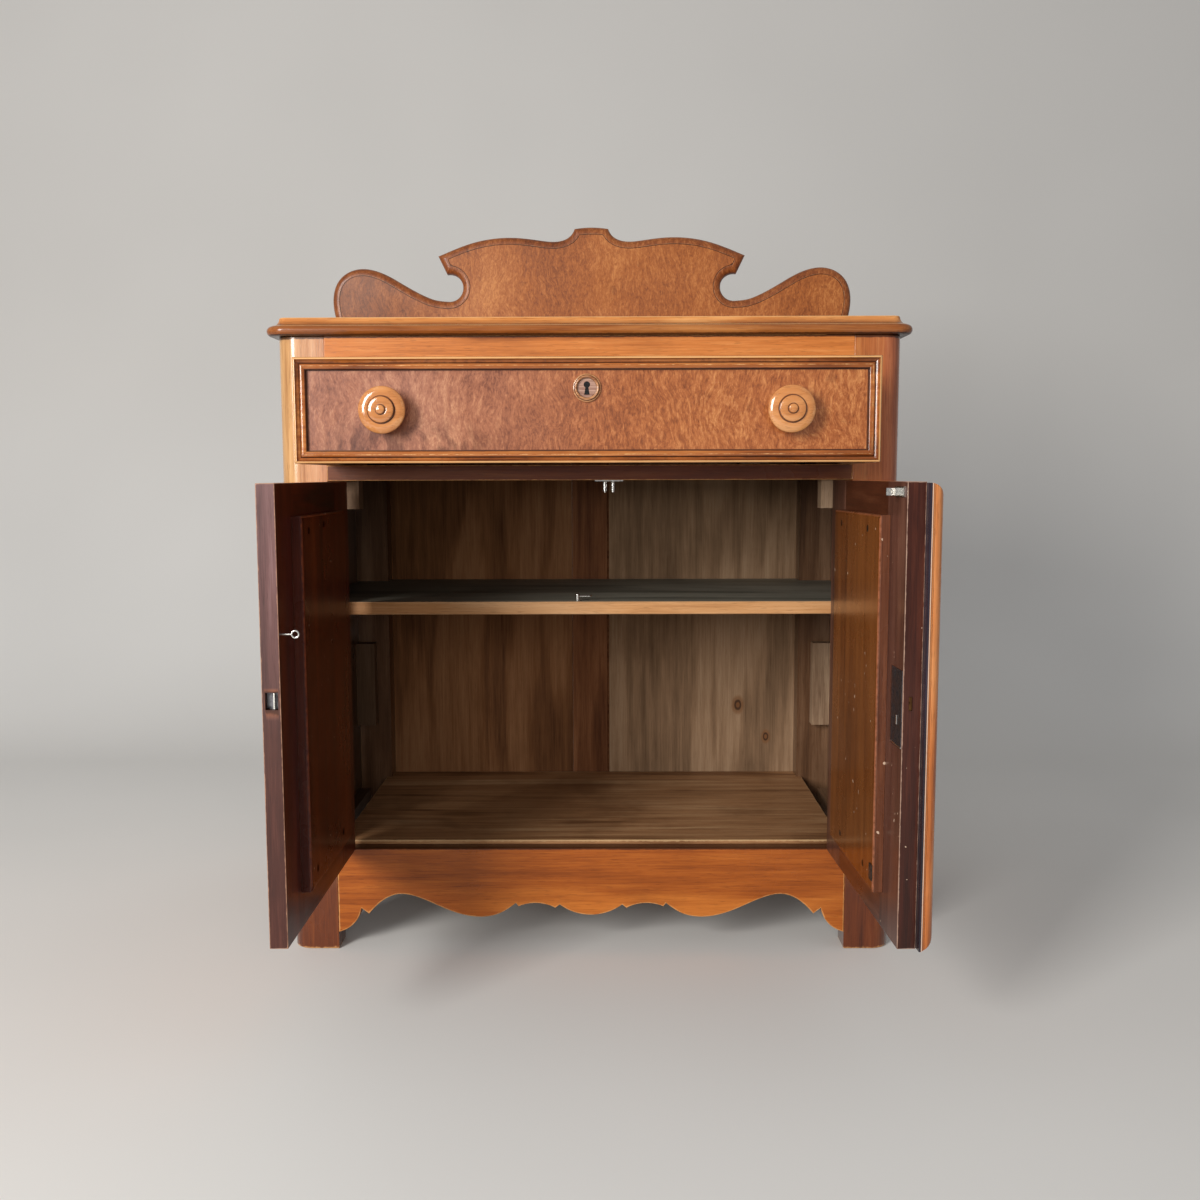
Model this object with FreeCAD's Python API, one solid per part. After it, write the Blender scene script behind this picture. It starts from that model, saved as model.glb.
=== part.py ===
"""Walnut washstand cabinet: carcass, drawer, two doors, splashback and their hardware.

Millimetres, +Z up, the front faces -Y. x = 0 is the middle of the cabinet, y = 0 the front
plane of the posts and z = 0 the floor; the whole is centred on its own box before writing.
"""
import math
import os

import FreeCAD
import Part

V = FreeCAD.Vector
ORIGIN = V(0, 0, 0)
X_AXIS = V(1, 0, 0)
Y_AXIS = V(0, 1, 0)
Z_AXIS = V(0, 0, 1)

# ---------------------------------------------------------------- carcass
BODY_HALF = 370.0           # outer faces of the posts
POST_WIDE = 58.0
POST_DEEP = 36.0
POST_ROUND = 24.0           # outer front corner of each front post
BODY_TOP = 747.0            # underside of the top board
OPENING_HALF = BODY_HALF - POST_WIDE
TENON_LONG = 12.0
TENON_THICK = 8.0
TENON_SHOULDER = 5.0

SIDE_INSET = 4.0            # side panels behind the outer faces of the posts
SIDE_THICK = 16.0
SIDE_OUTER = BODY_HALF - SIDE_INSET
SIDE_INNER = SIDE_OUTER - SIDE_THICK
SIDE_BOTTOM = 64.0
TONGUE_LONG = 6.0
TONGUE_THICK = 8.0

BODY_DEEP = 377.0           # front of the posts to the rear of the back boards
REAR_POST_WIDE = 66.0
REAR_POST_DEEP = 42.0
REAR_POST_FRONT = BODY_DEEP - REAR_POST_DEEP
REAR_POST_INNER = BODY_HALF - REAR_POST_WIDE
BACK_THICK = 10.0
BACK_REAR = BODY_DEEP
BACK_FRONT = BACK_REAR - BACK_THICK
BACK_RABBET = 8.0           # hold of the back boards in the rear posts
BACK_HALF = REAR_POST_INNER + BACK_RABBET
BACK_BOTTOM = 90.0
BACK_JOINTS = (-32.0, -31.7, 20.6, 23.5)    # edges of the three back boards

RAIL_DEEP = 20.0
TOP_RAIL_TALL = 38.0
TOP_RAIL_BOTTOM = BODY_TOP - TOP_RAIL_TALL
DRAWER_OPENING = 113.5      # clear height between divider and top rail
DIVIDER_TOP = TOP_RAIL_BOTTOM - DRAWER_OPENING
DIVIDER_THICK = 18.0
DIVIDER_BOTTOM = DIVIDER_TOP - DIVIDER_THICK
DIVIDER_DEEP = 60.0
APRON_TOP = 127.5
APRON_ARCH = ((0, 43), (20.6, 46.4), (38.5, 56))
APRON_LOBE = ((43.9, 51.8), (67, 58), (89.5, 53.7))
APRON_SWEEP_START = (92.6, 57.9)
APRON_SWEEP = (             # share of the way to the end scroll, and height
    (0.106711, 45.2), (0.259076, 40.5), (0.471947, 50.3), (0.693069, 67.2),
    (0.788779, 69.6), (0.927943, 58),
)
APRON_SCROLL = (           # measured in from the post
    (37.6, 44.5), (28.2, 51.6), (19, 32), (0, 21.5),
)

FLOOR_RISE = 4.5            # floor board above the apron
FLOOR_TOP = APRON_TOP + FLOOR_RISE
FLOOR_THICK = 14.0
SHELF_TOP = 428.0
SHELF_THICK = 16.0
SHELF_FRONT = 41.0
CLEAT_WIDE = 16.0
CLEAT_TALL = 20.0
CLEAT_FRONT = 60.0
CLEAT_SHORT = 15.0          # cleats stop short of the rear posts
CLEAT_Y = (CLEAT_FRONT, REAR_POST_FRONT - CLEAT_SHORT)

RUNNER_WIDE = 60.0
RUNNER_INNER = SIDE_INNER - RUNNER_WIDE
GUIDE_RISE = 19.5
CORNER_BLOCK = (32.0, 25.0, 50.0, 34.5)     # width, front y, rear y, height
REAR_BLOCK = (27.0, 20.0, 215.0, 337.0)     # width, depth, lower z, upper z
STOP_X = (180.0, 215.0)
STOP_TALL = 6.0
STOP_DEEP = 25.0
STOP_GAP = 0.3

# ---------------------------------------------------------------- top board and splashback
TOP_OVERHANG = (12.0, 11.0, 7.0)            # past the posts: each end, front, rear
TOP_HALF = BODY_HALF + TOP_OVERHANG[0]
TOP_FRONT = -TOP_OVERHANG[1]
TOP_REAR = BODY_DEEP + TOP_OVERHANG[2]
TOP_THICK = 22.0
TOP_CORNER = 24.0           # corner of the moulded edge in plan
TOP_FLAT_INSET = 14.0
TOP_Z = BODY_TOP + TOP_THICK
RIM_WIDE = 20.0

SPLASH_THICK = 19.0
SPLASH_REAR = BACK_REAR
SPLASH_FRONT = SPLASH_REAR - SPLASH_THICK
SPLASH_ROUND = 5.0          # front arris
SPLASH_SHIFT = -1.5         # the sawn outline sits a little left of the middle
SPLASH_INSET = 26.0         # foot of the board, in from the end of the top
SPLASH_HALF = TOP_HALF - SPLASH_INSET
SPLASH_SCROLL = (           # past the end of the foot, and height above the top
    (0, 0), (14.5, 26), (22.8, 53), (23.8, 77), (15.8, 99), (1, 111.5),
    (-16, 116.3), (-34, 115), (-53, 108.5), (-81, 93), (-110, 77.5), (-128, 71),
    (-146, 69),
)
SPLASH_HOOK = ((-146, 69), (-167.3, 88.8), (-144, 108.4))
SPLASH_EAR = -131.5         # tip of the ear, past the end of the foot
SPLASH_CREST_HALF = 24.5
SPLASH_SWEEP = (            # share of the way from the crest to the ear, and height
    (1, 134), (0.8875, 143.3), (0.7575, 152.5), (0.5975, 159), (0.4175, 160),
    (0.2525, 156.2), (0.1475, 154.4), (0.0875, 156.2), (0.0425, 160.6),
    (0.015, 166.5), (0, 172.5),
)
SPLASH_CREST = 174.5

# ---------------------------------------------------------------- drawer, as if closed
DRAWER_GAP = 2.5            # at each end of the drawer front
DRAWER_HALF = OPENING_HALF - DRAWER_GAP
DRAWER_GAP_Z = (0.8, 1.7)   # under and over the drawer front
DRAWER_BOTTOM_Z = DIVIDER_TOP + DRAWER_GAP_Z[0]
DRAWER_TOP_Z = TOP_RAIL_BOTTOM - DRAWER_GAP_Z[1]
GUIDE_GAP = 1.0             # between a drawer side and its guide
GUIDE_FACE = DRAWER_HALF + GUIDE_GAP
DRAWER_CORE_FACE = 6.0      # the burl face, behind the moulding
DRAWER_BACK_FACE = 20.0
DRAWER_SHORT = 10.0         # drawer ends short of the rear posts
DRAWER_END = REAR_POST_FRONT - DRAWER_SHORT
DRAWER_SIDE_THICK = 12.0
DRAWER_SIDE_GAP = 0.3       # drawer sides over their runners
DRAWER_SIDE_BOTTOM = DIVIDER_TOP + DRAWER_SIDE_GAP
DRAWER_SIDE_DROP = 2.3      # drawer sides below the top of the front
DRAWER_SIDE_TOP = DRAWER_TOP_Z - DRAWER_SIDE_DROP
DRAWER_PULLED = 157.0
PLY_GROOVE = 4.0
DRAWER_FLOOR_RISE = 7.7
DRAWER_FLOOR_THICK = 6.0
DRAWER_FLOOR_LOW = DRAWER_BOTTOM_Z + DRAWER_FLOOR_RISE
DRAWER_FLOOR_Z = (DRAWER_FLOOR_LOW, DRAWER_FLOOR_LOW + DRAWER_FLOOR_THICK)
DRAWER_WALL_DROP = 7.3
DRAWER_WALL_TOP = DRAWER_TOP_Z - DRAWER_WALL_DROP
DRAWER_MOULD_WIDE = 14.0
TAIL_LONG = 9.0
TAIL_HALF_BASE = 7.0
TAIL_HALF_TIP = 9.5
TAIL_PITCH = 27.0
TAIL_RISE = 13.7
TAIL_FIRST = DRAWER_BOTTOM_Z + TAIL_RISE
TAIL_COUNT = 4

KNOB_INSET = 95.8           # middle of a knob, in from the end of the drawer front
KNOB_RISE = 55.2
KNOB_X = DRAWER_HALF - KNOB_INSET
KNOB_Z = DRAWER_BOTTOM_Z + KNOB_RISE
KNOB_RADIUS = 24.8
KNOB_TENON = 5.0
KNOB_CURVES = (             # radius and height over the drawer face, arc by arc
    ((11.5, 0), (12.3, 1.4), (11.0, 2.8)),
    ((11.0, 2.8), (9.2, 7.0), (13.5, 11.5)),
    ((13.5, 11.5), (20.5, 14.5), (23.6, 17.0)),
    ((23.6, 17.0), (KNOB_RADIUS, 19.6), (23.2, 22.2)),
    ((23.2, 22.2), (18.5, 23.4), (14.2, 22.0)),
    ((13.6, 23.6), (9.0, 25.2), (5.0, 25.0)),
    ((5.0, 25.0), (3.6, 26.7), (1.2, 27.4)),
)
LOCK_DROP = 32.5
LOCK_Z = DRAWER_TOP_Z - LOCK_DROP           # keyhole of the drawer
ROSETTE_RADIUS = 15.0
ROSETTE_BORE = 10.0
ROSETTE_HIGH = 5.0
ROSETTE_FLOOR = 1.5
KEY_ROUND = 3.3
KEY_SLOT = (1.5, 2.6, 9.5)  # half width at the top, half width at the foot, drop

BOLT_FIT = 0.1              # room around each lock bolt in its case
DRAWER_LOCK_HALF = 22.0
DRAWER_LOCK_TALL = 47.3
DRAWER_LOCK_Z = DRAWER_TOP_Z - DRAWER_LOCK_TALL
DRAWER_LOCK_FRONT = 10.0
DRAWER_BOLT_HALF = 9.0
DRAWER_BOLT_Y = (11.5, 15.5)
DRAWER_BOLT_DROP = 0.3
DRAWER_BOLT_LONG = 15.0
DRAWER_BOLT_TOP = DRAWER_TOP_Z - DRAWER_BOLT_DROP
DRAWER_BOLT_Z = (DRAWER_BOLT_TOP - DRAWER_BOLT_LONG, DRAWER_BOLT_TOP)
RAIL_MORTISE = (11.0, 9.0, 18.0, 7.0)       # half width, front y, rear y, depth

# ---------------------------------------------------------------- doors, as if closed
DOOR_GAP = 1.5              # beside the hinge edge of each door
DOOR_EDGE = OPENING_HALF - DOOR_GAP
MEETING_HALF = 0.7          # half of the gap between the doors
DOOR_WIDE = DOOR_EDGE - MEETING_HALF
DOOR_END_GAP = 1.0          # under and over each door
DOOR_Z = (APRON_TOP + DOOR_END_GAP, DIVIDER_BOTTOM - DOOR_END_GAP)
DOOR_THICK = 18.0
FRAME_WIDE = 66.0
RAIL_EDGE_Z = (DOOR_Z[0] + FRAME_WIDE, DOOR_Z[1] - FRAME_WIDE)
PANEL_FACE = 6.0
PANEL_TONGUE = 8.0
PANEL_TONGUE_Y = (9.0, 15.0)
DOOR_TENON_LONG = 30.0
DOOR_TENON_Y = (5.0, 12.0)
DOOR_TENON_SHOULDER = 12.0
DOOR_MOULD_WIDE = 16.0
DOOR_MOULD_PROUD = 4.0
BOARD_INSET = (62.0, 54.8, 36.5, 32.5)      # hinge side, free side, foot, head
BOARD_S = (BOARD_INSET[0], DOOR_WIDE - BOARD_INSET[1])
BOARD_Z = (DOOR_Z[0] + BOARD_INSET[2], DOOR_Z[1] - BOARD_INSET[3])
BOARD_THICK = 10.8
BOARD_CHAMFER = 2.0
RIGHT_OPEN_DEGREES = 92.1
LEFT_OPEN_DEGREES = 90.0
SCREW_HEAD = 3.6
SCREW_CONE = 2.6
SCREW_SHANK = 1.6
SCREW_LONG = 17.0
SCREW_INWARD = (            # from the board's hinge side, free side, hinge side, free side
    (32.0, 47.0, 52.0, 40.0),
    (103.0, 26.0, 48.0, 26.0),
)
SCREW_INTO_RAIL = (         # head rail twice, foot rail twice; right door, then left door
    (19.5, 18.5, 10.5, 11.5),
    (22.5, 18.5, 10.5, 12.5),
)

PIN_X = (OPENING_HALF + DOOR_EDGE) / 2      # in the middle of the gap
PIN_Y = -5.5
PIN_RADIUS = 1.8
PIN_CLEARANCE = 0.05
BARREL_RADIUS = 4.0
BARREL_ROOM = 0.3           # beside and between knuckles
HINGE_TALL = 50.0
KNUCKLES = 5
LEAF_THICK = 1.6
LEAF_END = 16.8
POST_LEAF_END = 20.0
HINGE_INSET = 61.5          # middle of a hinge, in from the end of the door
HINGE_Z = (DOOR_Z[0] + HINGE_INSET, DOOR_Z[1] - HINGE_INSET)

LAP_REACH = (15.8, 10.0)    # astragal, onto and past the right door's free edge
LAP_S = (DOOR_WIDE - LAP_REACH[0], DOOR_WIDE + LAP_REACH[1])
LAP_BASE = 3.4
LAP_STEP = 5.6
LAP_STEP_INSET = 1.6
LAP_ROUND = 10.3
LAP_END_ROUND = 15.0
LAP_RELIEF = 0.3
LAP_Z_INSET = 1.0

DOOR_LOCK_WIDE = 38.8
DOOR_LOCK_TALL = 75.0
DOOR_LOCK_RISE = 195.5
DOOR_LOCK_S = DOOR_WIDE - DOOR_LOCK_WIDE
DOOR_LOCK_Y = 7.0
DOOR_LOCK_LOW = DOOR_Z[0] + DOOR_LOCK_RISE
DOOR_LOCK_Z = (DOOR_LOCK_LOW, DOOR_LOCK_LOW + DOOR_LOCK_TALL)
DOOR_LOCK_PROUD = 0.6
DOOR_KEY_INSET = 30.8
DOOR_KEY_RISE = 42.0
DOOR_KEY_S = DOOR_WIDE - DOOR_KEY_INSET
DOOR_KEY_Z = DOOR_LOCK_LOW + DOOR_KEY_RISE
DOOR_ROSETTE_RADIUS = 12.0
DOOR_ROSETTE_BORE = 8.0
DOOR_BOLT_Y = (8.5, 12.5)
DOOR_BOLT_RISE = 37.5
DOOR_BOLT_TALL = 13.0
DOOR_BOLT_LOW = DOOR_LOCK_LOW + DOOR_BOLT_RISE
DOOR_BOLT_Z = (DOOR_BOLT_LOW, DOOR_BOLT_LOW + DOOR_BOLT_TALL)
DOOR_BOLT_X = (1.0, 24.0)
DOOR_BOLT_ROOM = 32.0
STRIKE_THICK = 1.2
STRIKE_Y = (4.0, 16.0)
STRIKE_LAP = 11.5           # strike plate past the bolt, up and down
STRIKE_Z = (DOOR_BOLT_Z[0] - STRIKE_LAP, DOOR_BOLT_Z[1] + STRIKE_LAP)
STRIKE_ROOM = 0.5
STRIKE_DEEP = 9.0

EYE_X = -10.0               # screw eye on the left door, and the hook that enters it
EYE_CLEAR = 10.0            # middle of the eye in front of the shelf
EYE_RISE = 6.0              # and above it
EYE_Y = SHELF_FRONT - EYE_CLEAR
EYE_Z = SHELF_TOP + EYE_RISE
EYE_RING = 3.35
EYE_WIRE = 0.95
EYE_SUNK = 10.0
HOOK_PIVOT_SET = (6.0, 7.0) # beside the eye, behind the shelf's front edge
HOOK_PIVOT = V(EYE_X - HOOK_PIVOT_SET[0], SHELF_FRONT + HOOK_PIVOT_SET[1], 0)
HOOK_ARM = 17.0
HOOK_TIP = 8.0
HOOK_WIRE = 1.0
HOOK_RING = 3.0
HOOK_RING_HALF = 1.3
HOOK_BEND = 2.5
HOOK_HEAD_TALL = 2.4
HOOK_PIN = 1.2
HOOK_COLLAR = 2.6
HOOK_SUNK = 8.0

CATCH_X = 23.3
CATCH_PLATE = (17.0, 20.5, 32.5, 1.5)       # half width, front y, rear y, thickness
CATCH_ARM_X = 5.0
CATCH_PIVOT_Y = 30.0
CATCH_ROLLER_Y = 24.5
CATCH_ROLLER = 2.6
CATCH_PIN = 1.0
CATCH_BOSS = 2.0
CATCH_TALL = 14.0
CATCH_BOTTOM = DIVIDER_BOTTOM - CATCH_TALL
CATCH_HEAD = (1.8, 1.0)
CATCH_ROOM = 0.3
PLATE_INSET = (37.8, 7.8)   # catch strike, in from the free edge of the door
PLATE_S = (DOOR_WIDE - PLATE_INSET[0], DOOR_WIDE - PLATE_INSET[1])
PLATE_Z = (DIVIDER_BOTTOM - 15.5, DIVIDER_BOTTOM - 5.5)
PLATE_THICK = 1.2
SPEAR_Z = (CATCH_BOTTOM, DIVIDER_BOTTOM - 7.0)
SPEAR_HALF = ((1.5, 24.0), (1.9, 27.5), (1.0, 32.0))
PATCH_S = (BOARD_S[1] - 11.0, BOARD_S[1] - 1.0)
PATCH_Z = (BOARD_Z[0] + 12.0, BOARD_Z[0] + 28.0)
PATCH_THICK = 1.0


# ---------------------------------------------------------------- drawing helpers
def block(x, y, z):
    """A box between two values on each axis."""
    low = V(min(x), min(y), min(z))
    return Part.makeBox(abs(x[1] - x[0]), abs(y[1] - y[0]), abs(z[1] - z[0]), low)


def mirrored(shape):
    """The same piece on the other side of the middle plane."""
    return shape.mirror(ORIGIN, X_AXIS)


def pair(shape):
    return [shape, mirrored(shape)]


def rod(radius, start, end):
    """A round bar between two points."""
    run = end - start
    return Part.makeCylinder(radius, run.Length, start, run)


def face_of(edges):
    return Part.Face(Part.Wire(Part.__sortEdges__(edges)))


def polygon(points):
    return Part.Face(Part.makePolygon(points + [points[0]]))


def plan(points, z):
    """A flat outline given in x and y, raised from z[0] to z[1]."""
    flat = [V(x, y, z[0]) for x, y in points]
    return polygon(flat).extrude(V(0, 0, z[1] - z[0]))


def line(a, b):
    return Part.LineSegment(a, b).toShape()


def arc(a, mid, b):
    return Part.Arc(a, mid, b).toShape()


def spline(points):
    curve = Part.BSplineCurve()
    curve.interpolate(points)
    return curve.toShape()


def cut_all(shape, tools):
    for tool in tools:
        shape = shape.cut(tool)
    return shape


def fuse_all(shapes):
    whole = shapes[0].fuse(shapes[1:]) if len(shapes) > 1 else shapes[0]
    return whole.removeSplitter()


def keyhole(x, z, y):
    """A keyhole prism along y: a round eye with a flared slot under it."""
    top, foot, drop = KEY_SLOT
    eye = rod(KEY_ROUND, V(x, y[0], z), V(x, y[1], z))
    corners = [(x - top, z), (x + top, z), (x + foot, z - drop), (x - foot, z - drop)]
    slot = polygon([V(px, y[0], pz) for px, pz in corners]).extrude(V(0, y[1] - y[0], 0))
    return fuse_all([eye, slot])


def rosette(x, z, y_face, radius, bore):
    """A turned ring with a sunk floor, its keyhole cut through the floor."""
    edge = radius - bore
    profile = [
        line(V(0, 0, 0), V(radius, 0, 0)),
        line(V(radius, 0, 0), V(radius, -ROSETTE_HIGH + edge / 2, 0)),
        arc(V(radius, -ROSETTE_HIGH + edge / 2, 0),
            V(radius - edge / 2, -ROSETTE_HIGH, 0),
            V(bore, -ROSETTE_HIGH + edge / 2, 0)),
        line(V(bore, -ROSETTE_HIGH + edge / 2, 0), V(bore, -ROSETTE_FLOOR, 0)),
        line(V(bore, -ROSETTE_FLOOR, 0), V(0, -ROSETTE_FLOOR, 0)),
        line(V(0, -ROSETTE_FLOOR, 0), V(0, 0, 0)),
    ]
    ring = face_of(profile).revolve(ORIGIN, Y_AXIS, 360)
    ring.translate(V(x, y_face, z))
    return ring.cut(keyhole(x, z, (y_face - ROSETTE_HIGH, y_face)))


def moulding_side(half_long, offset, width, back, front):
    """One mitred length of the picture-frame moulding, above the middle of its frame.

    Across the width it has a rounded outer arris, a cove, a quirk and a bead.
    """
    rise = back - front

    def at(t, h):
        return V(-half_long, back - h * rise, offset - t * width)

    edges = [
        line(at(0, 0), at(0, 0.72)),
        arc(at(0, 0.72), at(0.06, 0.93), at(0.16, 1.0)),
        line(at(0.16, 1.0), at(0.30, 0.96)),
        arc(at(0.30, 0.96), at(0.42, 0.62), at(0.62, 0.44)),
        line(at(0.62, 0.44), at(0.64, 0.34)),
        arc(at(0.64, 0.34), at(0.78, 0.60), at(0.93, 0.34)),
        line(at(0.93, 0.34), at(1, 0.2)),
        line(at(1, 0.2), at(1, 0)),
        line(at(1, 0), at(0, 0)),
    ]
    bar = face_of(edges).extrude(V(2 * half_long, 0, 0))
    mitre = polygon([
        V(-half_long, front, offset),
        V(half_long, front, offset),
        V(half_long - width, front, offset - width),
        V(-half_long + width, front, offset - width),
    ]).extrude(V(0, rise, 0))
    return bar.common(mitre)


def moulding_frame(x, z, width, back, front):
    """Four mitred lengths around the rectangle x by z."""
    middle = V((x[0] + x[1]) / 2, 0, (z[0] + z[1]) / 2)
    half_x = abs(x[1] - x[0]) / 2
    half_z = abs(z[1] - z[0]) / 2
    sides = []
    for turn in range(4):
        lengths = (half_x, half_z) if turn % 2 == 0 else (half_z, half_x)
        side = moulding_side(*lengths, width, back, front)
        side.rotate(ORIGIN, Y_AXIS, 90 * turn)
        side.translate(middle)
        sides.append(side)
    return sides


def countersunk(x, y, z):
    """A screw driven towards -y with its flat head flush at y."""
    cone = Part.makeCone(SCREW_HEAD, SCREW_SHANK, SCREW_CONE, V(x, y, z), V(0, -1, 0))
    shank = rod(SCREW_SHANK, V(x, y - SCREW_CONE, z), V(x, y - SCREW_LONG, z))
    return fuse_all([cone, shank])


# ---------------------------------------------------------------- carcass pieces
def front_post():
    """Right front post; its lower end is the foot."""
    corner = V(BODY_HALF, 0, 0)
    start = corner - V(POST_ROUND, 0, 0)
    end = corner + V(0, POST_ROUND, 0)
    middle = POST_ROUND * (1 - math.sqrt(0.5))
    rear = V(BODY_HALF, POST_DEEP, 0)
    inner = V(OPENING_HALF, POST_DEEP, 0)
    front = V(OPENING_HALF, 0, 0)
    edges = [
        line(front, start),
        arc(start, corner + V(-middle, middle, 0), end),
        line(end, rear),
        line(rear, inner),
        line(inner, front),
    ]
    return face_of(edges).extrude(V(0, 0, BODY_TOP))


def side_tongues():
    """Panel tongues that enter the grooves of the front and rear posts."""
    middle = (SIDE_INNER + SIDE_OUTER) / 2
    x = (middle - TONGUE_THICK / 2, middle + TONGUE_THICK / 2)
    z = (SIDE_BOTTOM, BODY_TOP)
    front = block(x, (POST_DEEP - TONGUE_LONG, POST_DEEP), z)
    rear = block(x, (REAR_POST_FRONT, REAR_POST_FRONT + TONGUE_LONG), z)
    return [front, rear]


def rail(z, deep):
    """A cross rail with a tenon at each end."""
    body = block((-OPENING_HALF, OPENING_HALF), (0, deep), z)
    return fuse_all([body] + rail_tenons(z))


def rail_tenons(z):
    middle = RAIL_DEEP / 2
    tenon = block(
        (OPENING_HALF, OPENING_HALF + TENON_LONG),
        (middle - TENON_THICK / 2, middle + TENON_THICK / 2),
        (z[0] + TENON_SHOULDER, z[1] - TENON_SHOULDER),
    )
    return pair(tenon)


APRON_TENON_Z = (64.0, APRON_TOP)
RAIL_Z = (TOP_RAIL_BOTTOM, BODY_TOP)
DIVIDER_Z = (DIVIDER_BOTTOM, DIVIDER_TOP)


def apron():
    """The shaped bottom rail: a central arch, lobes and scrolls to each foot."""
    def from_post(point):
        return OPENING_HALF - point[0], point[1]

    start = APRON_SWEEP_START
    scroll = [from_post(point) for point in APRON_SCROLL]
    reach = scroll[0][0] - start[0]
    sweep = [start] + [(start[0] + share * reach, z) for share, z in APRON_SWEEP]
    sweep.append(scroll[0])
    crown, lobe = APRON_ARCH, APRON_LOBE
    half = [
        lambda p: arc(*[p(*q) for q in crown]),
        lambda p: line(p(*crown[2]), p(*lobe[0])),
        lambda p: arc(*[p(*q) for q in lobe]),
        lambda p: line(p(*lobe[2]), p(*start)),
        lambda p: spline([p(*q) for q in sweep]),
        lambda p: line(p(*scroll[0]), p(*scroll[1])),
        lambda p: arc(*[p(*q) for q in scroll[1:]]),
        lambda p: line(p(*scroll[3]), p(OPENING_HALF, APRON_TOP)),
    ]

    def right(x, z):
        return V(x, 0, z)

    def left(x, z):
        return V(-x, 0, z)

    edges = [draw(side) for side in (right, left) for draw in half]
    edges.append(line(right(OPENING_HALF, APRON_TOP), left(OPENING_HALF, APRON_TOP)))
    body = face_of(edges).extrude(V(0, RAIL_DEEP, 0))
    return fuse_all([body] + rail_tenons(APRON_TENON_Z))


def floor_board():
    z = (FLOOR_TOP - FLOOR_THICK, FLOOR_TOP)
    front = block((-OPENING_HALF, OPENING_HALF), (RAIL_DEEP, POST_DEEP), z)
    middle = block((-SIDE_INNER, SIDE_INNER), (POST_DEEP, REAR_POST_FRONT), z)
    rear = block((-REAR_POST_INNER, REAR_POST_INNER), (REAR_POST_FRONT, BACK_FRONT), z)
    return fuse_all([front, middle, rear])


def shelf():
    """The shelf is notched round the rear posts."""
    z = (SHELF_TOP - SHELF_THICK, SHELF_TOP)
    middle = block((-SIDE_INNER, SIDE_INNER), (SHELF_FRONT, REAR_POST_FRONT), z)
    rear = block((-REAR_POST_INNER, REAR_POST_INNER), (REAR_POST_FRONT, BACK_FRONT), z)
    return fuse_all([middle, rear])


def rear_post():
    post = block((REAR_POST_INNER, BODY_HALF), (REAR_POST_FRONT, BACK_REAR), (0, BODY_TOP))
    rabbet = block((REAR_POST_INNER, BACK_HALF), (BACK_FRONT, BACK_REAR), (0, BODY_TOP))
    return post.cut(rabbet)


def runner():
    """Right drawer runner with the guide that keeps the drawer straight."""
    y = (DIVIDER_DEEP, REAR_POST_FRONT)
    bearer = block((RUNNER_INNER, SIDE_INNER), y, DIVIDER_Z)
    guide = block((GUIDE_FACE, SIDE_INNER), y, (DIVIDER_TOP, DIVIDER_TOP + GUIDE_RISE))
    return fuse_all([bearer, guide])


def cleat(top):
    x = (SIDE_INNER - CLEAT_WIDE, SIDE_INNER)
    return block(x, CLEAT_Y, (top - CLEAT_TALL, top))


def glue_blocks():
    wide, front, rear, tall = CORNER_BLOCK
    corner = block((OPENING_HALF - wide, OPENING_HALF), (front, rear),
                   (DIVIDER_BOTTOM - tall, DIVIDER_BOTTOM))
    wide, deep, low, high = REAR_BLOCK
    y = (REAR_POST_FRONT - deep, REAR_POST_FRONT)
    tall = block((SIDE_INNER - wide, SIDE_INNER), y, (low, high))
    y = (DRAWER_BACK_FACE + STOP_GAP, DRAWER_BACK_FACE + STOP_GAP + STOP_DEEP)
    stop = block(STOP_X, y, (DIVIDER_TOP, DIVIDER_TOP + STOP_TALL))
    return pair(corner) + pair(tall) + pair(stop)


def top_board():
    """Board with a thumb-nail edge round its front and both ends."""
    def at(inset, rise):
        return V(-TOP_HALF + inset, TOP_REAR, BODY_TOP + rise)

    profile = [
        line(at(RIM_WIDE, 0), at(8, 0)),
        arc(at(8, 0), at(0, 7), at(6, 13.6)),
        line(at(6, 13.6), at(10, 14.2)),
        arc(at(10, 14.2), at(11.2, 18.4), at(TOP_FLAT_INSET, TOP_THICK)),
        line(at(TOP_FLAT_INSET, TOP_THICK), at(RIM_WIDE, TOP_THICK)),
        line(at(RIM_WIDE, TOP_THICK), at(RIM_WIDE, 0)),
    ]
    section = Part.Wire(Part.__sortEdges__(profile))
    reach = TOP_HALF
    turn = TOP_CORNER
    bow = turn * (1 - math.sqrt(0.5))
    z = BODY_TOP

    def half_path(side):
        end = V(side * reach, TOP_REAR, z)
        begin = V(side * reach, TOP_FRONT + turn, z)
        mid = V(side * (reach - bow), TOP_FRONT + bow, z)
        front = V(side * (reach - turn), TOP_FRONT, z)
        return [line(end, begin), arc(begin, mid, front)]

    left = half_path(-1)
    right = half_path(1)
    front = line(V(-reach + turn, TOP_FRONT, z), V(reach - turn, TOP_FRONT, z))
    path = Part.Wire(left + [front] + right[::-1])
    rim = path.makePipeShell([section], True, False)
    field = block((-reach + RIM_WIDE, reach - RIM_WIDE),
                  (TOP_FRONT + RIM_WIDE, TOP_REAR),
                  (BODY_TOP, TOP_Z))
    return fuse_all([rim, field])


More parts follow.
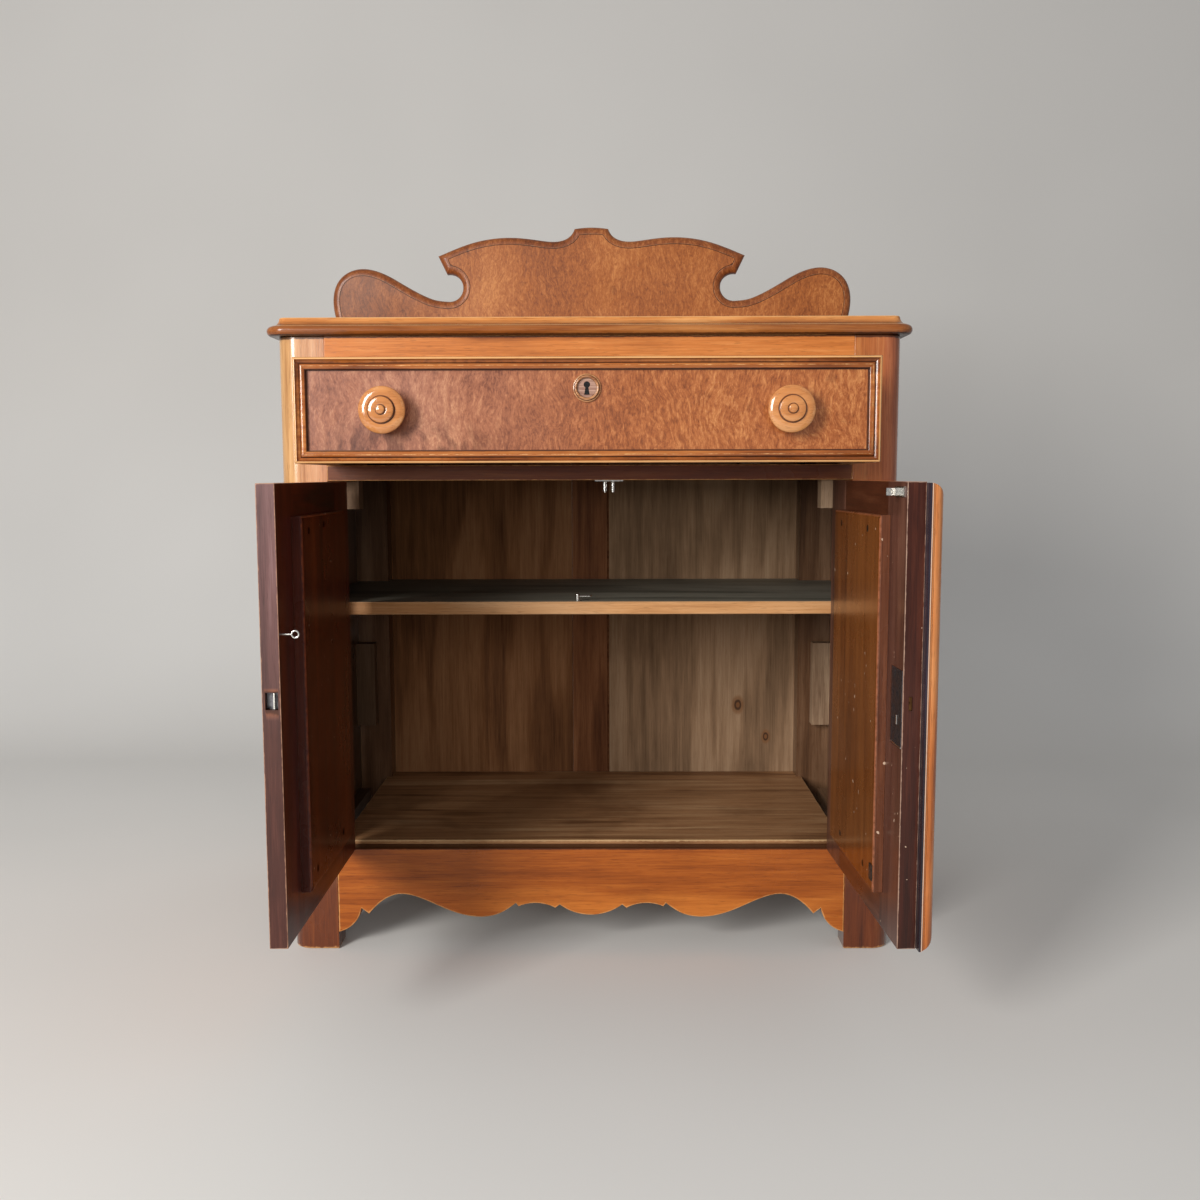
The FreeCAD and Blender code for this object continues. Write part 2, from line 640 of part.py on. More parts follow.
def splashback():
    """The sawn board with its front arris rounded over, all but the foot."""
    reach = SPLASH_HALF + SPLASH_EAR - SPLASH_CREST_HALF
    sweep = [(SPLASH_CREST_HALF + share * reach, TOP_Z + z) for share, z in SPLASH_SWEEP]
    scroll = [(SPLASH_HALF + x, TOP_Z + z) for x, z in SPLASH_SCROLL]
    hook = [(SPLASH_HALF + x, TOP_Z + z) for x, z in SPLASH_HOOK]

    def draw(side):
        def p(point):
            return V(side * point[0] + SPLASH_SHIFT, SPLASH_FRONT, point[1])
        return [
            spline([p(q) for q in scroll]),
            arc(*[p(q) for q in hook]),
            line(p(hook[2]), p(sweep[0])),
            spline([p(q) for q in sweep]),
        ]

    def across_middle(half, z, middle_z):
        left = V(SPLASH_SHIFT - half, SPLASH_FRONT, z)
        right = V(SPLASH_SHIFT + half, SPLASH_FRONT, z)
        if middle_z == z:
            return line(right, left)
        return arc(right, V(SPLASH_SHIFT, SPLASH_FRONT, middle_z), left)

    crest = across_middle(*sweep[-1], TOP_Z + SPLASH_CREST)
    foot = across_middle(*scroll[0], TOP_Z)
    board = face_of(draw(1) + [crest] + draw(-1) + [foot]).extrude(V(0, SPLASH_THICK, 0))
    worked = [edge for edge in board.Edges
              if edge.BoundBox.YMax < SPLASH_FRONT + 0.01 and edge.BoundBox.ZMax > TOP_Z + 1]
    return board.makeFillet(SPLASH_ROUND, worked)


# ---------------------------------------------------------------- drawer pieces
def dovetails():
    """Tails of the right drawer side, let into the back of the drawer front."""
    tails = []
    x = DRAWER_HALF - DRAWER_SIDE_THICK
    base = DRAWER_BACK_FACE
    tip = DRAWER_BACK_FACE - TAIL_LONG
    for number in range(TAIL_COUNT):
        z = TAIL_FIRST + number * TAIL_PITCH
        corners = [(base, z - TAIL_HALF_BASE), (tip, z - TAIL_HALF_TIP),
                   (tip, z + TAIL_HALF_TIP), (base, z + TAIL_HALF_BASE)]
        tail = polygon([V(x, py, pz) for py, pz in corners])
        tails.append(tail.extrude(V(DRAWER_SIDE_THICK, 0, 0)))
    return tails


def knob(x):
    """Turned knob: flanged neck, saucer face with a raised disc and a button."""
    def at(radius, out):
        return V(radius, DRAWER_CORE_FACE - out, 0)

    reach = DRAWER_BACK_FACE - DRAWER_CORE_FACE
    outline = [
        line(at(0, -reach), at(KNOB_TENON, -reach)),
        line(at(KNOB_TENON, -reach), at(KNOB_TENON, 0)),
        line(at(KNOB_TENON, 0), at(*KNOB_CURVES[0][0])),
    ]
    last = KNOB_CURVES[0][0]
    for first, middle, end in KNOB_CURVES:
        if first != last:
            outline.append(line(at(*last), at(*first)))
        outline.append(arc(at(*first), at(*middle), at(*end)))
        last = end
    outline.append(line(at(*last), at(0, last[1])))
    outline.append(line(at(0, last[1]), at(0, -reach)))
    turned = face_of(outline).revolve(ORIGIN, Y_AXIS, 360)
    turned.translate(V(x, 0, KNOB_Z))
    return turned


def drawer_pieces():
    """The drawer as if pushed home."""
    z = (DRAWER_BOTTOM_Z, DRAWER_TOP_Z)
    inner = DRAWER_HALF - DRAWER_SIDE_THICK
    housed = inner + PLY_GROOVE
    tails = dovetails()
    side = block((inner, DRAWER_HALF), (DRAWER_BACK_FACE, DRAWER_END),
                 (DRAWER_SIDE_BOTTOM, DRAWER_SIDE_TOP))
    side = fuse_all([side] + tails)
    bottom = block((-housed, housed), (DRAWER_BACK_FACE - PLY_GROOVE, DRAWER_END),
                   DRAWER_FLOOR_Z)
    wall_y = (DRAWER_END - 2 * DRAWER_SIDE_THICK, DRAWER_END - DRAWER_SIDE_THICK)
    back = block((-housed, housed), wall_y, (DRAWER_FLOOR_Z[1], DRAWER_WALL_TOP))
    side = cut_all(side, [bottom, back])

    knobs = pair(knob(KNOB_X))
    case = block((-DRAWER_LOCK_HALF, DRAWER_LOCK_HALF),
                 (DRAWER_LOCK_FRONT, DRAWER_BACK_FACE), (DRAWER_LOCK_Z, DRAWER_TOP_Z))
    bolt = block((-DRAWER_BOLT_HALF, DRAWER_BOLT_HALF), DRAWER_BOLT_Y, DRAWER_BOLT_Z)
    room = block((-DRAWER_BOLT_HALF - BOLT_FIT, DRAWER_BOLT_HALF + BOLT_FIT),
                 (DRAWER_BOLT_Y[0] - BOLT_FIT, DRAWER_BOLT_Y[1] + BOLT_FIT),
                 (DRAWER_BOLT_Z[0] - BOLT_FIT, DRAWER_TOP_Z))
    key = keyhole(0, LOCK_Z, (DRAWER_CORE_FACE, DRAWER_BACK_FACE))
    core = block((-DRAWER_HALF, DRAWER_HALF), (DRAWER_CORE_FACE, DRAWER_BACK_FACE), z)
    left_tails = [mirrored(tail) for tail in tails]
    core = cut_all(core, tails + left_tails + [bottom, case, key] + knobs)
    case = cut_all(case, [room, key])
    frame = moulding_frame((-DRAWER_HALF, DRAWER_HALF), z, DRAWER_MOULD_WIDE,
                           DRAWER_CORE_FACE, 0)
    ring = rosette(0, LOCK_Z, DRAWER_CORE_FACE, ROSETTE_RADIUS, ROSETTE_BORE)
    return {
        "drawer_front": [core],
        "drawer_moulding": frame,
        "drawer_side_left": [mirrored(side)],
        "drawer_side_right": [side],
        "drawer_back": [back],
        "drawer_bottom": [bottom],
        "drawer_knob_left": [knobs[1]],
        "drawer_knob_right": [knobs[0]],
        "drawer_keyhole_ring": [ring],
        "drawer_lock_case": [case],
        "drawer_lock_bolt": [bolt],
    }


# ---------------------------------------------------------------- door pieces
def across(s):
    """x of a distance s measured from the hinge edge of the right door."""
    return DOOR_EDGE - s


def door_block(s, y, z):
    return block((across(s[1]), across(s[0])), y, z)


def knuckle_spans(base, first):
    """Heights of every second knuckle, counted from first."""
    tall = HINGE_TALL / KNUCKLES
    spans = []
    for number in range(first, KNUCKLES, 2):
        low = base - HINGE_TALL / 2 + number * tall
        below = BARREL_ROOM / 2 if number > 0 else 0
        above = BARREL_ROOM / 2 if number < KNUCKLES - 1 else 0
        spans.append((low + below, low + tall - above))
    return spans


def hinge_leaf(height, x, y_end, first):
    """One leaf: a plate clear of the barrel, joined to its own knuckles."""
    y_plate = PIN_Y + BARREL_RADIUS + BARREL_ROOM
    z = (height - HINGE_TALL / 2, height + HINGE_TALL / 2)
    parts = [block(x, (y_plate, y_end), z)]
    for low, high in knuckle_spans(height, first):
        parts.append(block(x, (PIN_Y, y_plate), (low, high)))
        parts.append(rod(BARREL_RADIUS, V(PIN_X, PIN_Y, low), V(PIN_X, PIN_Y, high)))
    return parts, z


def post_leaf(height):
    """Right-hand fixed leaf with three knuckles and the pin."""
    x = (OPENING_HALF, OPENING_HALF + LEAF_THICK)
    parts, z = hinge_leaf(height, x, POST_LEAF_END, 0)
    parts.append(rod(PIN_RADIUS, V(PIN_X, PIN_Y, z[0]), V(PIN_X, PIN_Y, z[1])))
    return fuse_all(parts)


def door_leaf(height):
    """Right-hand moving leaf with two knuckles bored for the pin."""
    x = (DOOR_EDGE - LEAF_THICK, DOOR_EDGE)
    parts, z = hinge_leaf(height, x, LEAF_END, 1)
    bore = rod(PIN_RADIUS + PIN_CLEARANCE, V(PIN_X, PIN_Y, z[0]), V(PIN_X, PIN_Y, z[1]))
    return fuse_all(parts).cut(bore)


def screw_places(inward, into_rail):
    """Two screws in the head rail and two in the foot rail of a door."""
    hinge_side, free_side = BOARD_S
    foot, head = RAIL_EDGE_Z
    return (
        (hinge_side + inward[0], head + into_rail[0]),
        (free_side - inward[1], head + into_rail[1]),
        (hinge_side + inward[2], foot - into_rail[2]),
        (free_side - inward[3], foot - into_rail[3]),
    )


def frame_door(places):
    """Framed door in the right-hand opening, as if shut."""
    low, high = DOOR_Z
    inner_s = (FRAME_WIDE, DOOR_WIDE - FRAME_WIDE)
    inner_z = RAIL_EDGE_Z
    y = (0, DOOR_THICK)
    leaves = [door_leaf(height) for height in HINGE_Z]

    tongue = door_block((inner_s[0] - PANEL_TONGUE, inner_s[1] + PANEL_TONGUE),
                        PANEL_TONGUE_Y,
                        (inner_z[0] - PANEL_TONGUE, inner_z[1] + PANEL_TONGUE))
    panel = fuse_all([door_block(inner_s, (PANEL_FACE, DOOR_THICK), inner_z), tongue])

    rails = []
    for rail_z in ((low, inner_z[0]), (inner_z[1], high)):
        body = door_block(inner_s, y, rail_z)
        tenon_s = (inner_s[0] - DOOR_TENON_LONG, inner_s[1] + DOOR_TENON_LONG)
        tenon_z = (rail_z[0] + DOOR_TENON_SHOULDER, rail_z[1] - DOOR_TENON_SHOULDER)
        tenon = door_block(tenon_s, DOOR_TENON_Y, tenon_z)
        rails.append(fuse_all([body, tenon]))
    stiles = [
        door_block((0, inner_s[0]), y, DOOR_Z),
        door_block((inner_s[1], DOOR_WIDE), y, DOOR_Z),
    ]

    x = (across(inner_s[0]), across(inner_s[1]))
    moulding = moulding_frame(x, inner_z, DOOR_MOULD_WIDE, PANEL_FACE, -DOOR_MOULD_PROUD)
    back_face = DOOR_THICK + BOARD_THICK
    board = door_block(BOARD_S, (DOOR_THICK, back_face), BOARD_Z)
    rim = [edge for edge in board.Edges if edge.BoundBox.YMin > back_face - 0.01]
    board = board.makeChamfer(BOARD_CHAMFER, rim)

    screws = [countersunk(across(s), back_face, height) for s, height in places]
    board = cut_all(board, screws)
    rails = [cut_all(piece, screws + [tongue]) for piece in rails]
    stiles = [cut_all(piece, rails + [tongue] + leaves) for piece in stiles]
    return {
        "stiles": stiles,
        "rails": rails,
        "panel": [panel],
        "moulding": moulding,
        "backing": [board],
        "hinge_leaves": leaves,
        "screws": screws,
    }


def lap_strip():
    """Astragal on the right door: flat foot, step and half round, its ends rounded over."""
    low = DOOR_Z[0] + LAP_Z_INSET
    high = DOOR_Z[1] - LAP_Z_INSET
    z = (low, high)
    on_door = door_block((LAP_S[0], DOOR_WIDE), (-LAP_BASE, 0), z)
    beyond = door_block((DOOR_WIDE, LAP_S[1]), (-LAP_BASE, -LAP_RELIEF), z)
    step_s = (LAP_S[0] + LAP_STEP_INSET, LAP_S[1] - LAP_STEP_INSET)
    step = door_block(step_s, (-LAP_STEP, -LAP_BASE), z)
    middle = across((LAP_S[0] + LAP_S[1]) / 2)
    half = rod(LAP_ROUND, V(middle, -LAP_STEP, low), V(middle, -LAP_STEP, high))
    front = -LAP_STEP - LAP_ROUND
    half = half.common(door_block(LAP_S, (front, -LAP_STEP), z))
    strip = fuse_all([on_door, beyond, step, half])

    x = across(LAP_S[1])
    bow = LAP_END_ROUND * (1 - math.sqrt(0.5))
    turn_y = front + LAP_END_ROUND
    edges = [
        line(V(x, 0, low), V(x, turn_y, low)),
        arc(V(x, turn_y, low), V(x, front + bow, low + bow), V(x, front, low + LAP_END_ROUND)),
        line(V(x, front, low + LAP_END_ROUND), V(x, front, high - LAP_END_ROUND)),
        arc(V(x, front, high - LAP_END_ROUND), V(x, front + bow, high - bow),
            V(x, turn_y, high)),
        line(V(x, turn_y, high), V(x, 0, high)),
        line(V(x, 0, high), V(x, 0, low)),
    ]
    return strip.common(face_of(edges).extrude(V(LAP_S[1] - LAP_S[0], 0, 0)))


def right_door_fittings(stiles):
    """Lock, strip, rosette, strike with spear and patch of the right door."""
    edge = MEETING_HALF
    case_y = (DOOR_LOCK_Y, DOOR_THICK + DOOR_LOCK_PROUD)
    case = block((edge, across(DOOR_LOCK_S)), case_y, DOOR_LOCK_Z)
    bolt = block(DOOR_BOLT_X, DOOR_BOLT_Y, DOOR_BOLT_Z)
    room = block((edge, DOOR_BOLT_ROOM),
                 (DOOR_BOLT_Y[0] - BOLT_FIT, DOOR_BOLT_Y[1] + BOLT_FIT),
                 (DOOR_BOLT_Z[0] - BOLT_FIT, DOOR_BOLT_Z[1] + BOLT_FIT))
    key = keyhole(across(DOOR_KEY_S), DOOR_KEY_Z, (0, case_y[1]))
    ring = rosette(across(DOOR_KEY_S), DOOR_KEY_Z, 0, DOOR_ROSETTE_RADIUS,
                   DOOR_ROSETTE_BORE)
    stiles = [cut_all(piece, [case, key]) for piece in stiles]
    case = cut_all(case, [room, key])

    plate = door_block(PLATE_S, (DOOR_THICK, DOOR_THICK + PLATE_THICK), PLATE_Z)
    half = [(width, y) for width, y in SPEAR_HALF]
    root = (half[0][0], DOOR_THICK)
    outline = [root] + half + [(-width, y) for width, y in half[::-1]] + [(-root[0], root[1])]
    spear = plan([(CATCH_X + width, y) for width, y in outline], SPEAR_Z)
    strike = fuse_all([plate, spear])

    face = DOOR_THICK + BOARD_THICK
    patch = door_block(PATCH_S, (face, face + PATCH_THICK), PATCH_Z)
    return stiles, {
        "lap_strip": [lap_strip()],
        "lock_case": [case],
        "lock_bolt": [bolt],
        "keyhole_ring": [ring],
        "catch_strike": [strike],
        "patch_plate": [patch],
    }


def left_door_fittings(stiles):
    """Strike plate for the lock bolt and the screw eye, in the left-hand opening."""
    plate = block((-MEETING_HALF - STRIKE_THICK, -MEETING_HALF), STRIKE_Y, STRIKE_Z)
    pocket = block((-MEETING_HALF - STRIKE_DEEP, -MEETING_HALF),
                   (DOOR_BOLT_Y[0] - STRIKE_ROOM, DOOR_BOLT_Y[1] + STRIKE_ROOM),
                   (DOOR_BOLT_Z[0] - STRIKE_ROOM, DOOR_BOLT_Z[1] + STRIKE_ROOM))
    ring = Part.makeTorus(EYE_RING, EYE_WIRE, V(EYE_X, EYE_Y, EYE_Z), X_AXIS)
    shank = rod(EYE_WIRE, V(EYE_X, EYE_SUNK, EYE_Z), V(EYE_X, EYE_Y - EYE_RING, EYE_Z))
    eye = fuse_all([ring, shank])
    stiles = [cut_all(piece, [plate, pocket, eye]) for piece in stiles]
    return stiles, {"strike_plate": [plate.cut(pocket)], "screw_eye": [eye]}


# ---------------------------------------------------------------- hook and roller catch
def hook_pieces():
    """Hook lying over the shelf, and the collared screw it turns on."""
    foot = HOOK_PIVOT + V(0, 0, SHELF_TOP)
    level = HOOK_PIVOT + V(0, 0, EYE_Z)
    low = EYE_Z - HOOK_RING_HALF
    high = EYE_Z + HOOK_RING_HALF

    def at(radius, z):
        return HOOK_PIVOT + V(radius, 0, z)

    collar_top = low - CATCH_ROOM
    head_low = high + CATCH_ROOM
    head_top = head_low + HOOK_HEAD_TALL
    profile = [
        line(at(0, SHELF_TOP - HOOK_SUNK), at(HOOK_PIN, SHELF_TOP - HOOK_SUNK)),
        line(at(HOOK_PIN, SHELF_TOP - HOOK_SUNK), at(HOOK_PIN, SHELF_TOP)),
        line(at(HOOK_PIN, SHELF_TOP), at(HOOK_COLLAR, SHELF_TOP)),
        line(at(HOOK_COLLAR, SHELF_TOP), at(HOOK_COLLAR, collar_top)),
        line(at(HOOK_COLLAR, collar_top), at(HOOK_PIN, collar_top)),
        line(at(HOOK_PIN, collar_top), at(HOOK_PIN, head_low)),
        line(at(HOOK_PIN, head_low), at(HOOK_COLLAR, head_low)),
        arc(at(HOOK_COLLAR, head_low), at(HOOK_COLLAR * 0.75, head_low + HOOK_HEAD_TALL * 0.7),
            at(HOOK_PIN / 2, head_top)),
        line(at(HOOK_PIN / 2, head_top), at(0, head_top)),
        line(at(0, head_top), at(0, SHELF_TOP - HOOK_SUNK)),
    ]
    screw = face_of(profile).revolve(HOOK_PIVOT, Z_AXIS, 360)

    start = level + V(HOOK_PIN + HOOK_WIRE, 0, 0)
    corner = level + V(HOOK_ARM, 0, 0)
    before = corner - V(HOOK_BEND, 0, 0)
    after = corner + V(0, HOOK_BEND, 0)
    bow = HOOK_BEND * (1 - math.sqrt(0.5))
    path = Part.Wire([
        line(start, before),
        arc(before, corner + V(-bow, bow, 0), after),
        line(after, corner + V(0, HOOK_TIP, 0)),
    ])
    section = Part.Wire(Part.makeCircle(HOOK_WIRE, start, X_AXIS))
    wire = path.makePipeShell([section], True, False)
    ring = rod(HOOK_RING, HOOK_PIVOT + V(0, 0, low), HOOK_PIVOT + V(0, 0, high))
    bore = rod(HOOK_PIN + PIN_CLEARANCE, foot, HOOK_PIVOT + V(0, 0, head_low))
    return fuse_all([ring, wire]).cut(bore), screw


def catch_pieces():
    """Plate under the divider with two pins, and an arm with a roller on each pin."""
    half, front, rear, thick = CATCH_PLATE
    under = DIVIDER_BOTTOM - thick
    plate = block((CATCH_X - half, CATCH_X + half), (front, rear), (under, DIVIDER_BOTTOM))
    body = [plate]
    arms = []
    head, head_tall = CATCH_HEAD
    for side in (-1, 1):
        x = CATCH_X + side * CATCH_ARM_X
        pivot = V(x, CATCH_PIVOT_Y, 0)
        body.append(rod(CATCH_PIN, pivot + V(0, 0, CATCH_BOTTOM), pivot + V(0, 0, under)))
        body.append(rod(head, pivot + V(0, 0, CATCH_BOTTOM - head_tall),
                        pivot + V(0, 0, CATCH_BOTTOM)))
        low = CATCH_BOTTOM + CATCH_ROOM
        high = under - CATCH_ROOM
        roller = V(x, CATCH_ROLLER_Y, 0)
        web = block((x - CATCH_PIN, x + CATCH_PIN), (CATCH_ROLLER_Y, CATCH_PIVOT_Y),
                    (low, high))
        arm = fuse_all([
            rod(CATCH_BOSS, pivot + V(0, 0, low), pivot + V(0, 0, high)),
            rod(CATCH_ROLLER, roller + V(0, 0, low), roller + V(0, 0, high)),
            web,
        ])
        bore = rod(CATCH_PIN + PIN_CLEARANCE, pivot + V(0, 0, low), pivot + V(0, 0, high))
        arms.append(arm.cut(bore))
    return fuse_all(body), arms[0], arms[1]


# ---------------------------------------------------------------- assembly
def swung(shape, side, angle):
    """A door piece of the given side turned outward about its hinge pin."""
    turned = shape.copy()
    turned.rotate(V(side * PIN_X, PIN_Y, 0), Z_AXIS, side * angle)
    return turned


def build():
    nodes = {}
    tongues = side_tongues()
    post_leaves = [post_leaf(height) for height in HINGE_Z]
    tenons = rail_tenons(RAIL_Z) + rail_tenons(DIVIDER_Z) + rail_tenons(APRON_TENON_Z)
    post = cut_all(front_post(), tongues + post_leaves + tenons)
    rear = cut_all(rear_post(), tongues)
    panel = block((SIDE_INNER, SIDE_OUTER), (POST_DEEP, REAR_POST_FRONT),
                  (SIDE_BOTTOM, BODY_TOP))
    panel = fuse_all([panel] + tongues)

    half, front, back, deep = RAIL_MORTISE
    mortise = block((-half, half), (front, back), (TOP_RAIL_BOTTOM, TOP_RAIL_BOTTOM + deep))
    hook, hook_screw = hook_pieces()
    catch_body, left_arm, right_arm = catch_pieces()
    back_z = (BACK_BOTTOM, BODY_TOP)
    back_y = (BACK_FRONT, BACK_REAR)
    kicker = block((RUNNER_INNER, SIDE_INNER), (POST_DEEP, REAR_POST_FRONT), RAIL_Z)
    cleats = pair(cleat(SHELF_TOP - SHELF_THICK)) + pair(cleat(FLOOR_TOP - FLOOR_THICK))

    nodes["front_post_left"] = [mirrored(post)]
    nodes["front_post_right"] = [post]
    nodes["rear_posts"] = pair(rear)
    nodes["side_panel_left"] = [mirrored(panel)]
    nodes["side_panel_right"] = [panel]
    nodes["top_rail"] = [rail(RAIL_Z, RAIL_DEEP).cut(mortise)]
    nodes["drawer_divider"] = [rail(DIVIDER_Z, DIVIDER_DEEP).cut(
        block((OPENING_HALF, BODY_HALF), (POST_DEEP, DIVIDER_DEEP), DIVIDER_Z))]
    nodes["apron"] = [apron()]
    nodes["floor_board"] = [floor_board()]
    nodes["shelf"] = [shelf().cut(hook_screw)]
    nodes["top_board"] = [top_board()]
    nodes["splashback"] = [splashback()]
    nodes["back_board_left"] = [block((-BACK_HALF, BACK_JOINTS[0]), back_y, back_z)]
    nodes["back_board_middle"] = [block(BACK_JOINTS[1:3], back_y, back_z)]
    nodes["back_board_right"] = [block((BACK_JOINTS[3], BACK_HALF), back_y, back_z)]
    nodes["shelf_cleats"] = cleats
    nodes["drawer_runners"] = pair(runner())
    nodes["drawer_kickers"] = pair(kicker)
    nodes["glue_blocks"] = glue_blocks()
    nodes["post_hinge_leaves"] = [leaf for one in post_leaves for leaf in pair(one)]
    nodes["catch_body"] = [catch_body]
    nodes["catch_arm_left"] = [left_arm]
    nodes["catch_arm_right"] = [right_arm]
    nodes["hook_screw"] = [hook_screw]
    nodes["shelf_hook"] = [hook]

    pull = V(0, -DRAWER_PULLED, 0)
    for name, shapes in drawer_pieces().items():
        nodes[name] = [shape.translated(pull) for shape in shapes]

    right = frame_door(screw_places(SCREW_INWARD[0], SCREW_INTO_RAIL[0]))
    right["stiles"], extras = right_door_fittings(right["stiles"])
    right.update(extras)
    for name, shapes in right.items():
        nodes["right_door_" + name] = [swung(shape, 1, RIGHT_OPEN_DEGREES) for shape in shapes]

    left = frame_door(screw_places(SCREW_INWARD[1], SCREW_INTO_RAIL[1]))
    left = {name: [mirrored(shape) for shape in shapes] for name, shapes in left.items()}
    left["stiles"], extras = left_door_fittings(left["stiles"])
    left.update(extras)
    for name, shapes in left.items():
        nodes["left_door_" + name] = [swung(shape, -1, LEFT_OPEN_DEGREES) for shape in shapes]
    return nodes


def write(nodes):
    """Centre the cabinet over the origin and write one STEP file per node."""
    boxes = [shape.optimalBoundingBox(False, False)
             for shapes in nodes.values() for shape in shapes]
    low = V(min(b.XMin for b in boxes), min(b.YMin for b in boxes), min(b.ZMin for b in boxes))
    high = V(max(b.XMax for b in boxes), max(b.YMax for b in boxes), max(b.ZMax for b in boxes))
    move = V(-(low.x + high.x) / 2, -(low.y + high.y) / 2, -low.z)
    os.makedirs("parts", exist_ok=True)
    for name, shapes in nodes.items():
        moved = [shape.translated(move) for shape in shapes]
        whole = moved[0] if len(moved) == 1 else Part.makeCompound(moved)
        whole.exportStep(os.path.join("parts", name + ".step"))
        state = "ok" if whole.isValid() and len(whole.Solids) == len(shapes) else "CHECK"
        print(f"{name:28s} {len(whole.Solids):2d} solids {whole.Volume / 1000:10.2f} cm3 {state}")
    print("nodes", len(nodes), "size", high - low, "moved", move)


write(build())
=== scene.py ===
# %% [markdown]
# # A walnut washstand, built as a lesson
# The real object is a Victorian cabinet in walnut: two framed doors, one long drawer with turned
# knobs, a top with a moulded edge and a sawn splashback. Its CAD model arrives as a fixed frame,
# with every board where the joiner put it. Here each visible surface gets its finish, and the
# boards that show get eased edges, turned profiles and wear.

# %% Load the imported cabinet
import math

import bmesh
import bpy
import numpy as np
from mathutils import Matrix, Vector


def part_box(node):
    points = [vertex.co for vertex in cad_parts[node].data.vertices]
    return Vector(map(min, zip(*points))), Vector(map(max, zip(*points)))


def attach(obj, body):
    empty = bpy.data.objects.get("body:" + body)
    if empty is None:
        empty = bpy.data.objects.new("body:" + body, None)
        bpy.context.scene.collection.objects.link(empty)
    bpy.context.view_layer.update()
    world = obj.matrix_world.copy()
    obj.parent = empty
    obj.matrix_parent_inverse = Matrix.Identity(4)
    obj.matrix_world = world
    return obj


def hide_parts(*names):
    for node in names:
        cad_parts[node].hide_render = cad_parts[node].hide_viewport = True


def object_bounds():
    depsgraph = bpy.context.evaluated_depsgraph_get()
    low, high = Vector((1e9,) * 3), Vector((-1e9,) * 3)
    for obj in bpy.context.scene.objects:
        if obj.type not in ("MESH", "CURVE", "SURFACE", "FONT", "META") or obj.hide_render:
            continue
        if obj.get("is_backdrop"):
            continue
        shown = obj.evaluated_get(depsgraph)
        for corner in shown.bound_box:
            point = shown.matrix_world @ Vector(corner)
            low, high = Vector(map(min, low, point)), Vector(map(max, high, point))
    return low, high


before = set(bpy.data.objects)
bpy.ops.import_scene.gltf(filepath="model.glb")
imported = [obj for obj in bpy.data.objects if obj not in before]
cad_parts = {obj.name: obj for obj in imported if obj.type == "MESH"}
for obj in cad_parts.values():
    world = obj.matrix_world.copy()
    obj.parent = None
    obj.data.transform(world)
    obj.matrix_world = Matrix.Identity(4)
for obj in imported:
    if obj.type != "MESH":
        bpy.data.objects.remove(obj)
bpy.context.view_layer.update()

BACKS_BEHIND_POSTS = 0.377
POSTS_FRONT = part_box("rear_posts")[1].y - BACKS_BEHIND_POSTS
SHIFT = np.array([0.0, POSTS_FRONT, 0.0])

# %% [markdown]
# ## Where things are while we build
# A joiner makes a door shut and a drawer home, and only then opens them. So every shape below is
# written in millimetres in the closed cabinet, measured from the front of the posts. One function
# for each moving part then turns or slides the finished points to where the CAD has them. Parents
# and rotations could do the same, but finished objects have to sit at the origin, unturned, so the
# sums are done on the points.

# %% Ways to stand: shut, pulled out or swung open
PIN = np.array([311.25, -5.5])
PULLED = 157.0
RIGHT_ANGLE, LEFT_ANGLE = 92.1, 90.0


def at_rest(points):
    """The carcass stays where it is."""
    return points


def pulled_out(points):
    """The drawer slides straight towards us: y falls by its travel."""
    return points - [0.0, PULLED, 0.0]


def swung(points, side, degrees):
    """A turn about the hinge pin: the offset from the pin times a rotation matrix."""
    angle = side * math.radians(degrees)
    turn = np.array([[math.cos(angle), math.sin(angle)], [-math.sin(angle), math.cos(angle)]])
    pin = PIN * [side, 1]
    flat = (points[:, :2] - pin) @ turn + pin
    return np.column_stack([flat, points[:, 2]])


def right_open(points):
    """The right door stands a little past square."""
    return swung(points, 1, RIGHT_ANGLE)


def left_open(points):
    """The left door stands square to the front."""
    return swung(points, -1, LEFT_ANGLE)


print("drawer", PULLED, "mm out, doors turned", RIGHT_ANGLE, "and", LEFT_ANGLE, "degrees")

# %% [markdown]
# ## Camera
# The camera stands lower than the top and higher than the shelf, so the shelf shows its upper side
# and the top board only its edge. Its axes are worked out from three small angles: how far it
# looks down, how far it turns aside and how far it leans. Rotation values would do as well, but
# three axes say plainly which way it looks.


# %% Camera
def new_object(name, data):
    """Gives data, such as a camera, a lamp or a mesh, a place in the scene."""
    thing = bpy.data.objects.new(name, data)
    bpy.context.scene.collection.objects.link(thing)
    return thing


LENS, SENSOR = 35.85, 36.0
CAMERA_AT = [0.0219, -1.4278 + POSTS_FRONT, 0.5827]
LOOK_DOWN, TURN_ASIDE, LEAN = (math.radians(a) for a in (5.94, 0.39, -0.15))
sin_d, cos_d = math.sin(LOOK_DOWN), math.cos(LOOK_DOWN)
sin_t, cos_t = math.sin(TURN_ASIDE), math.cos(TURN_ASIDE)
level = np.array([cos_t, sin_t, 0.0])
upward = np.array([-sin_t * sin_d, cos_t * sin_d, cos_d])
ahead = np.array([-sin_t * cos_d, cos_t * cos_d, -sin_d])
camera_right = math.cos(LEAN) * level + math.sin(LEAN) * upward
camera_up = -math.sin(LEAN) * level + math.cos(LEAN) * upward
camera_data = bpy.data.cameras.new("camera")
camera_data.lens, camera_data.sensor_width = LENS, SENSOR
camera = new_object("camera", camera_data)
stand = np.eye(4)
stand[:3, 0], stand[:3, 1], stand[:3, 2] = camera_right, camera_up, -ahead
stand[:3, 3] = CAMERA_AT
camera.matrix_world = Matrix(stand)
bpy.context.scene.camera = camera
print("camera at", stand[:3, 3].round(3))

